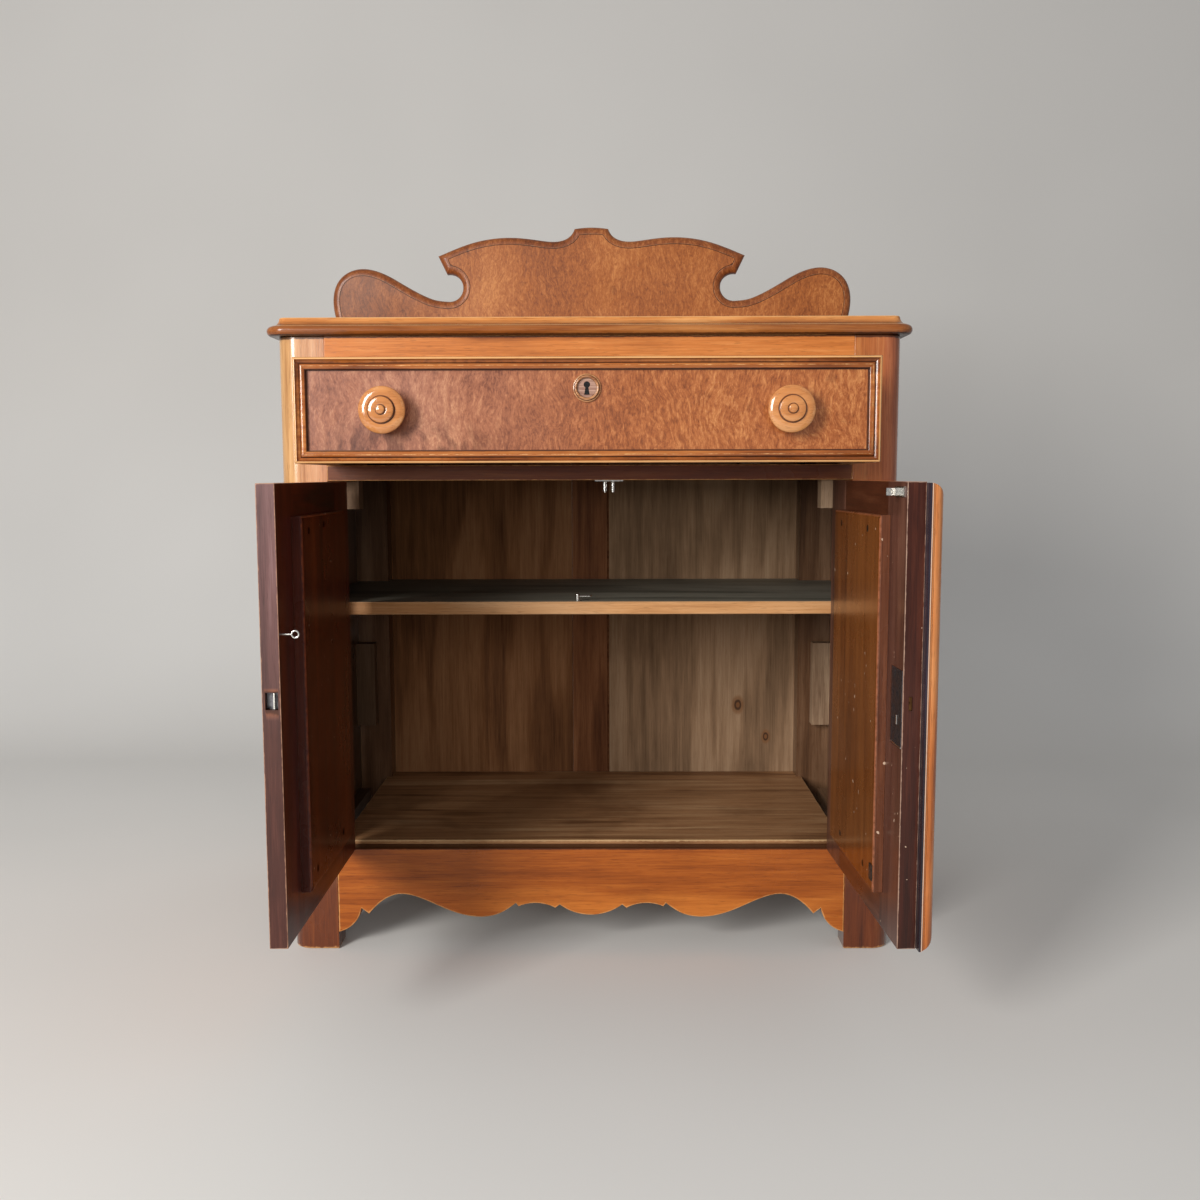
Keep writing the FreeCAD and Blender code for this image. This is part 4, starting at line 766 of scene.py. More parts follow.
# A left light below 1 paints the left door's shadow onto the left of the shelf; the blocks and
# cleats take it too.
shelf_wood = wood("shelf_board", 20, (82, 82, 72), (130, 128, 116), (160, 156, 142), grain="x",
                  gloss=0.55, coat=0.0, worn=(176, 136, 98), rub=0.5, left_light=0.55,
                  front=((152, 98, 54), (204, 150, 98), (228, 182, 134)))
floor_wood = wood("floor_board", 21, (112, 74, 44), (170, 124, 84), (204, 166, 124), grain="x",
                  gloss=0.5, coat=0.0, worn=(204, 170, 124), grime=0.5)
plain_wood = wood("whitewood", 22, (170, 132, 98), (214, 178, 140), (232, 206, 174), grain="y",
                  gloss=0.65, coat=0.0)
plain_up = wood("whitewood_up", 23, (168, 134, 104), (210, 182, 150), (228, 204, 176),
                gloss=0.65, coat=0.0)
block_wood = wood("old_pine_blocks", 24, (132, 104, 80), (172, 144, 116), (194, 168, 142),
                  gloss=0.7, coat=0.0, left_light=0.2)
cleat_wood = wood("old_pine", 27, (90, 64, 42), (124, 94, 68), (152, 122, 94), grain="y",
                  gloss=0.7, coat=0.0, left_light=0.25)
print("woods of the inside mixed, from", raw_wood.name, "to", cleat_wood.name)

# %% [markdown]
# ## Figured veneer
# The drawer front and the door panels are faced with veneer cut where the tree forked, so the
# fibres curl. A slow noise bends the place where a second noise is read, which turns bands into
# curls, and cross ripples give the flame.


# %% Curls and flame
def leaned(r, place, lean, squeeze):
    """The same place, leaned by an angle in the board's face and squeezed along z."""
    node = r.add("ShaderNodeMapping")
    r.feed(node.inputs["Vector"], place)
    node.inputs["Rotation"].default_value = (0.0, math.radians(lean), 0.0)
    node.inputs["Scale"].default_value = (1, 1, squeeze)
    return node.outputs[0]


def bent_place(r):
    """Every place moved by a slow noise: place + 0.05 noise."""
    node = r.add("ShaderNodeVectorMath", operation="MULTIPLY_ADD")
    r.feed(node.inputs[0], r.noise(r.place, 13.0, 3.0, output="Color"))
    node.inputs[1].default_value = (0.05, 0.05, 0.05)
    r.feed(node.inputs[2], r.place)
    return node.outputs[0]


def flame(r, bent, side, strength):
    """Figure = upright + side (leaning - upright). The tone sways with the figure, its contour
    lines, a broad noise, fibres and cross ripples."""
    upright = r.noise(leaned(r, bent, 0, 0.2), 105.0, 4.0, 0.62)
    leaning = r.noise(leaned(r, bent, -40, 0.25), 210.0, 4.0, 0.6, 0.4)
    figure = r.math("MULTIPLY_ADD", r.math("SUBTRACT", leaning, upright), side, upright)
    broad = r.noise(leaned(r, r.place, 0, 0.5), 9.0, 3.0)
    fine = r.noise(leaned(r, bent, 0, 0.12), 760.0, 3.0, 0.65)
    cross = r.noise(leaned(r, r.place, 0, 0.6), 420.0, 3.0, 0.7)
    lines = r.math("SINE", r.math("MULTIPLY", figure, 24.0))
    tone = r.math("MULTIPLY_ADD", lines, 0.02, r.swayed(0.47, figure, strength))
    for pattern, amount in ((broad, 0.6), (fine, 0.5), (cross, 0.45)):
        tone = r.swayed(tone, pattern, amount)
    return tone, figure, fine


def smudged(r, colour, deep, bent, amount):
    """Dark spots in a patch low down on the left of the drawer: low times left times spots."""
    low = r.between(r.along("Z"), 0.650, 0.612)
    left = r.math("MULTIPLY", r.between(r.along("X"), -0.06, -0.15),
                  r.between(r.along("X"), -0.295, -0.25))
    spots = r.between(r.noise(leaned(r, bent, 0, 0.45), 70.0, 4.0), 0.40, 0.58)
    dark = r.math("MULTIPLY", r.math("MULTIPLY", low, left), spots)
    return r.mix(r.math("MULTIPLY", dark, amount), colour, deep)


print("curls and flame ready")

# %% [markdown]
# A sheet of veneer is cool on the left and warm on the right, and its figure leans over on the
# way. On the drawer the cool pinkish tones on the left are a painted sheen of the window on the
# polish; on the splashback the left is darker. Both changes follow one number that grows along x.


# %% Veneers
def veneer(name, cool, warm, change, smudge=0.0, strength=0.8, worn=(214, 152, 98), coat=0.3,
           gloss=0.24, **others):
    """Cool tones and upright figure turn to warm tones and leaning figure while x goes through
    change; on the drawer the cool tones are a painted sheen. Others names marks and their tones, as
    for a wood."""
    r = Recipe(name)
    bent = bent_place(r)
    side = r.between(r.along("X"), *change)
    tone, figure, fine = flame(r, bent, side, strength)
    colour = r.mix(side, tones(r, tone, cool), tones(r, tone, warm))
    for mark, colours in others.items():
        colour = r.mix(r.mark(mark), colour, tones(r, tone, colours))
    deep = r.darker(colour, (0.30, 0.20, 0.16))
    if smudge:
        colour = smudged(r, colour, deep, bent, smudge)
    flecks = r.between(r.noise(bent, 60.0, 5.0, 0.7), 0.58, 0.74, 0.0, 0.5)
    colour = r.mix(flecks, colour, deep)
    colour, _ = rubbed_dirty_and_shaded(r, colour, (0, 0, 0), worn, 0.6, (46, 20, 10))
    r.bump(r.math("MULTIPLY_ADD", figure, 2.0, fine), 0.12, 0.0005)
    rough = r.between(r.noise(r.place, 9.0, 4.0), 0.3, 0.75, gloss, gloss + 0.18)
    return r.surface(Base_Color=colour, Roughness=rough, Coat_Weight=coat, Coat_Roughness=0.14,
                     Specular_IOR_Level=0.4)


# Pinkish tones that paint the window's sheen on the left of the drawer.
SHEEN_FIGURE = ((112, 62, 46), (164, 106, 80), (202, 148, 114))
WARM_FIGURE = ((104, 50, 22), (168, 96, 50), (214, 146, 88))
SPLASH_FIGURE = ((116, 58, 22), (164, 94, 42), (200, 132, 72))
SPLASH_DARK = ((84, 42, 16), (136, 76, 34), (176, 110, 60))
BAND = ((84, 38, 14), (134, 72, 32), (182, 114, 64))
ALL_WARM = (-10.0, -9.0)
burl = veneer("veneer_drawer", SHEEN_FIGURE, WARM_FIGURE, (-0.24, 0.10), smudge=0.75,
              strength=0.55)
burl_splash = veneer("veneer_splash", SPLASH_DARK, SPLASH_FIGURE, (-0.36, -0.14),
                     strength=0.45, coat=0.12, gloss=0.36, worn=(232, 190, 148), band=BAND)
burl_doors = veneer("veneer_doors", SHEEN_FIGURE, WARM_FIGURE, ALL_WARM)
print("veneers mixed:", burl.name, burl_splash.name, burl_doors.name)

# %% [markdown]
# ## Finish of the keyhole ring
# The ring is walnut, the plate inside it paler, and the keyhole's shallow floor painted black as
# the shade of a deep hole. Three materials would need the faces sorted first. One recipe tells all
# three apart by where they are in the drawer's own face: by the distance from the middle, and by
# the depth.

# %% Keyhole ring finish
RING_AT = np.array([0.0, 6.0, 674.8])
RING_PLACE = pulled_out(RING_AT) * 0.001 + SHIFT


def ring_finish(name, middle, bore, floor):
    """Rim, plate and hole: d = distance from the middle in x and z; deeper than floor is painted
    black, as the shade of a deep hole.
    """
    r = Recipe(name)
    out = r.distance(r.stretched((1, 0, 1), (-middle[0], 0, -middle[2])))
    plate = r.between(out, bore + 0.0004, bore - 0.0004)
    grain = r.noise(r.stretched((0.05, 1, 1)), 500.0, 4.0, 0.6)
    colour = r.ramp(grain, (0.3, paint(132, 72, 36)), (0.7, paint(222, 164, 112)))
    colour = r.mix(r.mark("grime_and_shade"), colour, paint(56, 24, 12))
    pale = r.ramp(grain, (0.3, paint(126, 84, 68)), (0.7, paint(196, 158, 138)))
    colour = r.mix(plate, colour, pale)
    deep = middle[1] - floor
    hole = r.between(r.along("Y"), deep + 0.00005, deep + 0.0003)
    hole = r.math("MULTIPLY", hole, r.between(out, bore, bore - 0.0005))
    # Painted shade: the hole's thin floor is black, as a deep hole would look.
    colour = r.mix(hole, colour, paint(9, 6, 5))
    r.bump(grain, 0.15, 0.0004)
    return r.surface(Base_Color=colour, Roughness=r.between(grain, 0.2, 0.8, 0.18, 0.34),
                     Coat_Weight=0.6, Coat_Roughness=0.12)


ring_wood = ring_finish("turned_ring", RING_PLACE, bore=0.0098, floor=0.0015)
print("keyhole ring mixed for its place at", RING_PLACE.round(3))

# %% [markdown]
# ## Metals
# The hinges are brass, the locks and the catch iron and steel. Old metal is never one grey: it
# darkens in patches and shines where it rubs, so both colour and roughness follow the same noise.
# Metallic is fully on, which makes the colour tint what the metal reflects.


# %% Metals
def metal(name, bright, dull, polish=0.25, tarnish=0.5):
    """Bright metal under patches of tarnish: one noise drives colour and roughness."""
    r = Recipe(name)
    patch = r.between(r.noise(r.place, 180.0, 5.0, 0.65), 0.62 - 0.3 * tarnish, 0.72)
    grain = r.noise(r.place, 900.0, 3.0)
    colour = r.mix(patch, paint(*bright), paint(*dull))
    rough = r.math("MULTIPLY_ADD", patch, 0.35, r.math("MULTIPLY_ADD", grain, 0.2, polish))
    r.bump(r.math("ADD", grain, patch), 0.2, 0.0002)
    return r.surface(Base_Color=colour, Roughness=rough, Metallic=1.0)


steel = metal("steel", (226, 224, 218), (150, 142, 130), 0.12, 0.3)
iron = metal("iron", (96, 92, 88), (44, 36, 32), 0.35, 0.7)
brass = metal("brass", (206, 168, 96), (110, 78, 42), 0.25, 0.5)
japanned = metal("japanned_iron", (118, 116, 120), (50, 48, 52), 0.3, 0.5)
worn_brass = metal("worn_brass", (112, 78, 48), (60, 38, 24), 0.3, 0.6)
print("metals mixed:", steel.name, iron.name, brass.name, japanned.name, worn_brass.name)

# %% [markdown]
# ## Finishes for the CAD boards and fittings
# Hidden woodwork and small hardware keep their CAD shape, which is already exact. Each only needs
# its finish in its material slots.

# %% Dress the CAD nodes that stay
KEPT = {
    side_wood: ["side_panel_left", "side_panel_right"],
    rear_wood: ["rear_posts"],
    cleat_wood: ["shelf_cleats", "drawer_runners", "drawer_kickers"],
    plain_wood: ["drawer_side_left", "drawer_side_right"],
    plain_up: ["drawer_back", "drawer_bottom"],
    block_wood: ["glue_blocks"],
    burl: ["drawer_front"],
    knob_wood: ["right_door_keyhole_ring"],
    brass: ["post_hinge_leaves", "left_door_hinge_leaves", "right_door_hinge_leaves"],
    steel: ["catch_body", "catch_arm_left", "catch_arm_right", "hook_screw", "shelf_hook",
            "left_door_screw_eye", "right_door_catch_strike", "drawer_lock_bolt"],
    iron: ["drawer_lock_case", "right_door_patch_plate",
           "left_door_screws", "right_door_screws"],
}


def dress(node, finish):
    """Puts the finish in every material slot of a CAD node."""
    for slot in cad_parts[node].material_slots:
        slot.material = finish


for finish, names in KEPT.items():
    for name in names:
        dress(name, finish)
print(sum(len(names) for names in KEPT.values()), "CAD nodes dressed")

# %% [markdown]
# ## Carcass boards
# The rails, the shelf, the floor and the three back boards are plain planed boards, so the board
# formula makes them all. The two rails butt against the posts. The shelf carries a second finish
# along its front edge, where the grey of its upper side stops.

# %% Rails, shelf, floor and back boards
OPENING = 312.0
DEEP = 367.0


def near_front(where, reach=1.2):
    """1 at the front edge, falling to 0 over the reach behind it."""
    return lambda points: np.clip(1 - (points[:, 1] - where) / reach, 0, 1)


def grime_and_shade_above(height, reach=3.5):
    """Painted shadow of the top's nose, with grime: 0 below the height, rising to 1 over the reach
    above it.
    """
    return lambda points: np.clip((points[:, 2] - height) / reach, 0, 1)


# The rail's upper edge is painted dark with the shadow of the top's nose and with grime.
make_board("top_rail_board", (-OPENING, 0, 709), (OPENING, 20, 747), "cabinet", ["top_rail"],
           walnut_across, arris=0.7, seed=3, marks={"grime_and_shade": grime_and_shade_above(743.0, 2.5)},
           rub_where=lambda points: abs(points[:, 0]) < 290)
make_board("divider_board", (-OPENING, 0, 577.5), (OPENING, 60, 595.5), "cabinet",
           ["drawer_divider"], divider_shaded_wood, arris=0.8, seed=6)
make_board("shelf_plank", (-350, 41, 412), (350, DEEP, 428), "cabinet", ["shelf"], shelf_wood,
           arris=1.6, seed=4, marks={"front": near_front(41.0)})
make_board("floor_plank", (-OPENING, 20, 118), (OPENING, DEEP, 132), "cabinet",
           ["floor_board"], floor_wood, arris=2.0, seed=5)
print("rails, shelf and floor made")

# %% [markdown]
# The three back boards are lapped, so that no daylight shows where one has shrunk: the middle
# board carries a thin tongue, and the right one is cut back to pass over it. Their sections are
# drawn in plan and carried up.

# %% Lapped back boards
TONGUE = 371.2
BACKS = {
    "back_board_left": ([(-312, 367), (-32, 367), (-32, 377), (-312, 377)], raw_left),
    "back_board_middle": ([(-31.7, 367), (20.6, 367), (20.6, TONGUE), (26, TONGUE),
                           (26, 376.6), (-31.7, 376.6)], raw_middle),
    "back_board_right": ([(23.5, 367), (312, 367), (312, 377), (26.4, 377),
                          (26.4, TONGUE - 0.4), (23.5, TONGUE - 0.4)], raw_wood),
}
for name, (plan, finish) in BACKS.items():
    outline = rounded_outline(plan, [0.35] * len(plan), 4)
    points, faces = loft(outline, eased(90, 747, 0.8, 2))
    # Painted shadow: the boards darken round the tongue, where the gap between the middle and right
    # boards lies in shade.
    dark = np.clip(1 - abs(points[:, 0] - 22.5) / 4.5, 0, 1) * (points[:, 1] > 367.5)
    make_piece(name + "_plank", points, faces, "cabinet", [name], finish,
               marks={"grime_and_shade": dark})
print(len(BACKS), "back boards lapped")

# %% [markdown]
# ## Front posts
# Recesses for the hinge leaves are cut by a boolean, the way a joiner lets a hinge in. They could
# be part of the outline, but it would then change four times on the way up the post. Points that
# only the cut mesh has were made by the cut, and these get the marks that paint the recess dark:
# painted shade with old dirt, and the dark inner tones.


# %% Cutting recesses
def vertex_places(mesh):
    """Each vertex as one whole number: micrometres of x, y and z side by side."""
    found = np.empty(3 * len(mesh.vertices), np.float32)
    mesh.vertices.foreach_get("co", found)
    steps = np.round(found.reshape(-1, 3).astype(float) * 1e6).astype(np.int64) + 2 ** 20
    return (steps[:, 0] << 42) + (steps[:, 1] << 21) + steps[:, 2]


def cut_away(piece, points, faces, pose=at_rest, marks=("grime_and_shade", "inner")):
    """Subtracts a closed shape, keeps the result as the piece's mesh and marks the new points, by
    default with painted shade and dirt. The weighted normals are off meanwhile, so that the boolean
    works on the plain mesh."""
    mesh = bpy.data.meshes.new("recess")
    mesh.from_pydata((pose(points) * 0.001 + SHIFT).tolist(), [], faces)
    tidy_mesh(mesh, 30.0)
    cutter = new_object("recess", mesh)
    change = piece.modifiers.new("recess", "BOOLEAN")
    change.operation, change.solver, change.object = "DIFFERENCE", "EXACT", cutter
    piece.modifiers.move(len(piece.modifiers) - 1, 0)
    shaded = piece.modifiers["flat faces stay flat"]
    shaded.show_viewport = shaded.show_render = False
    graph = bpy.context.evaluated_depsgraph_get()
    result = bpy.data.meshes.new_from_object(piece.evaluated_get(graph))
    piece.modifiers.remove(change)
    shaded.show_viewport = shaded.show_render = True
    made = ~np.isin(vertex_places(result), vertex_places(piece.data))
    for mark in marks:
        held = result.attributes.get(mark) or result.attributes.new(mark, "FLOAT", "POINT")
        values = np.zeros(len(made), np.float32)
        held.data.foreach_get("value", values)
        held.data.foreach_set("value", np.maximum(values, made).astype(np.float32))
    result.set_sharp_from_angle(angle=math.radians(32.0))
    piece.data = result
    bpy.data.objects.remove(cutter)


def cut_recesses(piece, boxes, pose=at_rest, marks=("grime_and_shade", "inner")):
    """Cuts several boxes at once, each given by two opposite corners."""
    corners = np.array([[i, j, k] for i in (0, 1) for j in (0, 1) for k in (0, 1)], float)
    sides = [[0, 1, 3, 2], [4, 6, 7, 5], [0, 4, 5, 1], [2, 3, 7, 6], [0, 2, 6, 4], [1, 5, 7, 3]]
    points = [low + corners * (np.asarray(high) - low) for low, high in np.asarray(boxes)]
    faces = [[8 * number + c for c in side] for number in range(len(boxes)) for side in sides]
    cut_away(piece, np.concatenate(points), faces, pose, marks)


print("recesses can be cut, each from a box of 6 sides")

# %% [markdown]
# Each post is a square section with one big rounded corner. The outline is carried up the post,
# and its foot is worn. The left post is the right one mirrored, with a finish of its own.


# %% Front posts with hinge recesses
def mirror(points, side):
    """Side 1 keeps the points, side -1 takes them across the middle: x times the side."""
    return points * [side, 1, 1]


HINGES = ((165.0, 215.0), (490.0, 540.0))
POST_OUT, POST_DEEP = 370, 36
for side, word, finish in ((1, "right", post_right_shaded_wood), (-1, "left", post_left_lit_wood)):
    outline = rounded_outline([(OPENING, 0), (POST_OUT, 0), (POST_OUT, POST_DEEP),
                               (OPENING, POST_DEEP)], [0.9, 24, 0.9, 0.9], 16)
    lengths = [(z, 0.0) for z in [*np.linspace(20, 730, 40), 741.5, 744.0]]
    stations = eased(0, 747, 1.6)
    stations = stations[:5] + [(6.0, 0.0)] + lengths + stations[5:]
    points, faces = loft(outline, stations)
    edges = np.minimum(abs(points[:, 0] - OPENING), 3) + np.minimum(points[:, 1], 3)
    edges += 3 * (points[:, 2] > 700)
    worn = np.maximum(np.clip(0.9 - points[:, 2] / 7.0, 0, 1), np.clip(0.8 - edges / 2.0, 0, 1))
    foot = np.clip((170 - points[:, 2]) / 90, 0, 1)
    # The post's upper end takes the painted shadow of the top's nose, with grime.
    post = make_piece("post_" + word, mirror(points, side), faces, "cabinet",
                      ["front_post_" + word], finish,
                      marks={"wear": worn, "foot": foot, "grime_and_shade": grime_and_shade_above(742.0, 2.5)(points),
                             "face": np.clip((349 - points[:, 0]) / 6, 0, 1)})
    cut_recesses(post, [(mirror(np.array([311.0, -2.0, low]), side),
                         mirror(np.array([313.6, 20.0, high]), side)) for low, high in HINGES])
print("two posts made,", len(outline), "points round each")

# %% [markdown]
# ## Apron
# The bottom rail is sawn to an arch, lobes and scrolls. Its outline is a chain of arcs and
# splines, mirrored about the middle, then carried through the rail's thickness. The front arris is
# eased as a file would leave it. A filled curve pushed out to a thickness looks alike, but it has
# no rows of points along its arris, and the wear is kept on those.

# %% Apron
APRON_TOP = 127.5
half = joined(
    arc((0, 43), (20.6, 46.4), (38.5, 56), 10),
    arc((43.9, 51.8), (67, 58), (89.5, 53.7), 14),
    smooth_curve([(92.6, 57.9), (112, 45.2), (139.7, 40.5), (178.4, 50.3), (218.6, 67.2),
                  (236, 69.6), (261.3, 58), (274.4, 44.5)]),
    [(283.8, 51.6)],
    arc((283.8, 51.6), (293, 32), (312, 21.5), 10),
)
end = np.column_stack([np.full(8, OPENING), np.linspace(35, APRON_TOP, 8)])
top = np.column_stack([np.linspace(300, 0, 26), np.full(26, APRON_TOP)])
right_half = joined(half, end, top)
outline = joined(right_half, (right_half * [-1, 1])[::-1])
stations = [(0.0, 6.0), (0.0, 2.6)] + eased(0, 20, 1.1, 3)
points, faces = loft(outline, stations)
row = np.repeat(np.arange(len(stations)), len(outline))
sawn = points[:, 1] < APRON_TOP - 2
worn = np.isin(row, (2, 3, 4, 5)) * sawn * 0.8
# Dirt on the rear arris; painted shadow on the top face, where the floor board sits above it.
grimy_and_shaded = np.isin(row, (6, 7)) * 0.5 + (points[:, 1] > APRON_TOP - 2) * 0.9
make_piece("apron_sawn", points[:, [0, 2, 1]], faces, "cabinet", ["apron"], apron_wood,
           marks={"wear": worn, "grime_and_shade": grimy_and_shaded})
print("apron outline", len(outline), "points")

# %% [markdown]
# ## Top board
# One cutter worked the front and both ends of the top: a thick rounded nose below and a small
# hollow step above. A Bevel modifier with a profile of its own could shape that edge. Drawn as the
# cutter left it, every point of the section also knows how worn it is and how dark: dirt lies in
# the crease above the nose, painted shade lies under the nose, and the step is painted lighter, as
# light falls on it from above. The section is carried along the edge, round both front corners,
# and flat faces close the top, the underside and the rear.

# %% Top board
TOP = dict(half=382.0, front=-11.0, rear=384.0, corner=24.0, low=747.0)
section = joined([(20, 0), (10.5, 0), (8, 0.1)], arc((7.8, 0.15), (0.1, 6.2), (5.0, 11.6), 18),
                 [(5.9, 12.0), (6.8, 12.0)], arc((7.2, 12.1), (12.3, 15.0), (14.8, 20.4), 12),
                 [(15.2, 21.3), (15.9, 21.9), (16.8, 22), (20, 22)])


def edge_path():
    """Points along the top's outer edge with the way that each faces: left end, corner, front,
    corner, right end."""
    h, f, c = TOP["half"], TOP["front"], TOP["corner"]
    a = np.linspace(math.pi, 1.5 * math.pi, 14)
    bend = np.column_stack([-h + c + c * np.cos(a), f + c + c * np.sin(a)])
    facing = np.column_stack([np.cos(a), np.sin(a)])
    runs = np.column_stack([np.full(24, -h), np.linspace(TOP["rear"], f + c, 25)[:-1]])
    middle = np.column_stack([np.linspace(-h + c, h - c, 50)[1:-1], np.full(48, f)])
    path = np.concatenate([runs, bend, middle, (bend * [-1, 1])[::-1], (runs * [-1, 1])[::-1]])
    ways = np.concatenate([np.tile([-1.0, 0], (24, 1)), facing, np.tile([0, -1.0], (48, 1)),
                           (facing * [-1, 1])[::-1], np.tile([1.0, 0], (24, 1))])
    return path, ways


path, ways = edge_path()
inset, rise = section[:, 0], section[:, 1]
flat = path[:, None] - ways[:, None] * inset[None, :, None]
grid = np.dstack([flat, np.broadcast_to(TOP["low"] + rise, flat.shape[:2])])
rows, columns = grid.shape[:2]
faces = grid_faces(rows, columns).tolist()
number = np.arange(rows * columns).reshape(rows, columns)
faces += [number[:, 0].tolist(), number[:, -1].tolist(),
          number[0].tolist() + number[-1][::-1].tolist()]
worn = np.tile(np.maximum(np.clip(1.2 - abs(rise - 11.7) / 0.9, 0, 1) * (inset < 7),
                          np.clip(1.3 - abs(rise - 21.5) / 0.8, 0, 1) * (inset < 17)), rows)
# Dirt in the crease above the nose, and painted shade on the nose's underside.
dirt_and_shade = np.tile((rise > 12) * (rise < 13.5) * 0.6 + np.clip(1.2 - rise / 2.5, 0, 1), rows)
# Painted light: the step, which faces up, is given lighter tones.
step = np.tile(np.clip((rise - 12.5) / 6, 0, 1) * 0.8, rows)
make_piece("top_moulded", grid.reshape(-1, 3), faces, "cabinet", ["top_board"], top_wood,
           marks={"wear": worn, "grime_and_shade": dirt_and_shade, "step": step}, crease=40.0)
print("top edge", rows, "x", columns, "points")

# %% [markdown]
# ## Splashback
# The board is sawn to two scrolls, two hooked ears and a small crest. A flat ovolo runs all round
# its front edge, with a quirk inside it. A Bevel would cross itself in the tight hooks, so the
# outline is drawn in step by step while the depth follows a quarter ellipse; where two sides meet
# at an ear, the drawn-in outlines are gathered to a mitre.

# %% Splashback
SPLASH_FRONT, SPLASH_REAR, SPLASH_LOW = 358.0, 377.0, 769.0
scroll = smooth_curve([(356, 769), (370.5, 795), (378.8, 822), (379.8, 846), (371.8, 868),
                       (357, 880.5), (340, 885.3), (322, 884), (303, 877.5), (275, 862),
                       (246, 846.5), (228, 840), (210, 838)], 3.0)
hook = arc((210, 838), (188.7, 857.8), (212, 877.4), 26)
sweep = smooth_curve([(224.5, 903), (202, 912.3), (176, 921.5), (144, 928), (108, 929),
                      (75, 925.2), (54, 923.4), (42, 925.2), (33, 929.6), (27.5, 935.5),
                      (24.5, 941.5)], 3.0)
ear = np.linspace(hook[-1], sweep[0], 10)[1:-1]
crest = arc((24.5, 941.5), (0, 943.5), (-24.5, 941.5), 16)
foot = np.column_stack([np.linspace(-356, 356, 120)[1:-1], np.full(118, SPLASH_LOW)])
right_side = joined(scroll, hook, ear, sweep)
outline = joined(right_side, crest, (right_side * [-1, 1])[::-1], foot) + [-1.5, 0]
angle = np.linspace(0, math.pi / 2, 9)
ovolo = [(SPLASH_FRONT + 9.2 - 9.0 * math.sin(a), 9.4 * (1 - math.cos(a))) for a in angle]
stations = ([(SPLASH_REAR, 0.8), (SPLASH_REAR - 0.8, 0.0), (372.0, 0.0)] + ovolo
            + [(SPLASH_FRONT + 0.2, 10.2), (SPLASH_FRONT + 1.0, 10.5), (SPLASH_FRONT + 1.0, 11.2),
               (SPLASH_FRONT + 0.3, 11.5), (SPLASH_FRONT + 0.3, 13.5)])
points, faces = loft(outline, stations)
points[:, 1] = np.clip(points[:, 1], SPLASH_LOW, None)
row = np.repeat(np.arange(len(stations)), len(outline))
worn = (row == 12) * 0.8
dirt_and_shade = np.isin(row, (13, 14)) * 0.75 + np.isin(row, (2, 3, 4)) * 0.5
band = np.isin(row, range(2, 14)) * 0.9
make_piece("splashback_sawn", points[:, [0, 2, 1]], faces, "cabinet", ["splashback"],
           burl_splash, marks={"wear": worn, "grime_and_shade": dirt_and_shade, "band": band}, crease=34.0)
print("splashback outline", len(outline), "points,", len(stations), "stations")

# %% [markdown]
# ## Mitred mouldings
# A run of moulding is one section pushed along a line and cut at 45 degrees at both ends. Four of
# them frame the drawer, and four each door panel. Across its width the section has a rounded outer
# arris, a cove, a quirk and a bead. Cutting straight bars with booleans would give the same
# mitres; making each line of a bar shorter by its distance across gives them without a cut.


# %% Mitred mouldings
def moulding_section(width, rise):
    """Closed section as (across, up) pairs, from the outer edge to the panel."""
    share = joined([(0, 0), (0, 0.72)], arc((0, 0.72), (0.05, 0.93), (0.14, 1.0), 6),
                   arc((0.17, 0.99), (0.27, 0.66), (0.44, 0.46), 9), [(0.455, 0.34)],
                   [(0.50, 0.32)], arc((0.515, 0.46), (0.69, 0.86), (0.87, 0.46), 12),
                   [(0.89, 0.14), (1, 0.12), (1, 0)])
    return share * [width, rise]


def moulding_frame(low, high, width, back, front, gap=0.12):
    """Four bars round the rectangle low to high in x and z: at each bar's ends the length falls
    by the distance across, which makes the mitre."""
    section = moulding_section(width, back - front)
    t, h = section[:, 0], section[:, 1]
    across = t / width
    rubbed = 1.0 * (abs(across - 0.09) < 0.06) + 0.7 * (abs(across - 0.66) < 0.07)
    # Dirt in the quirk; painted shade in the cove and on the inner foot next to the panel.
    grimy_and_shaded = (0.45 * (abs(across - 0.30) < 0.12) + 1.1 * (abs(across - 0.47) < 0.05)
             + 1.0 * (across > 0.86))
    centre = (np.asarray(low) + high) / 2
    half = abs(np.asarray(high) - low) / 2
    points, faces, count, rounds = [], [], 0, 0
    for turn in range(4):
        long, out = (half[0], half[1]) if turn % 2 == 0 else (half[1], half[0])
        share = np.linspace(-1, 1, max(6, int(long / 9)))[:, None]
        x = share * (long - t - gap)
        z = np.broadcast_to(out - t, x.shape)
        angle = -turn * math.pi / 2
        bar = np.stack([x * math.cos(angle) - z * math.sin(angle) + centre[0],
                        np.broadcast_to(back - h, x.shape),
                        x * math.sin(angle) + z * math.cos(angle) + centre[1]], -1)
        rows, columns = x.shape
        faces += grid_faces(rows, columns, around=True, start=count).tolist()
        faces.append(list(range(count, count + columns)))
        faces.append(list(range(count + (rows - 1) * columns, count + rows * columns)))
        points.append(bar.reshape(-1, 3))
        count += rows * columns
        rounds += rows
    marks = {"wear": np.tile(rubbed, rounds), "grime_and_shade": np.tile(grimy_and_shaded, rounds)}
    return np.concatenate(points), faces, marks


points, faces, marks = moulding_frame((-309.5, 596.3), (309.5, 707.3), 14.0, 6.0, 0.0)
make_piece("drawer_frame_moulding", points, faces, "drawer", ["drawer_moulding"], moulding_wood,
           pose=pulled_out, marks=marks, crease=40.0)
print("drawer moulding", len(points), "points")

# %% [markdown]
# ## Turned knobs
# A knob comes off a lathe, so it is one curve spun round an axis: a collar, a neck, a broad saucer
# with a rounded rim, a raised disc and a button. The Screw modifier spins a curve too; here the
# rows are worked out, so that dirt and painted shade in the hollows can be set along the profile.


# %% Knobs
AROUND = 72


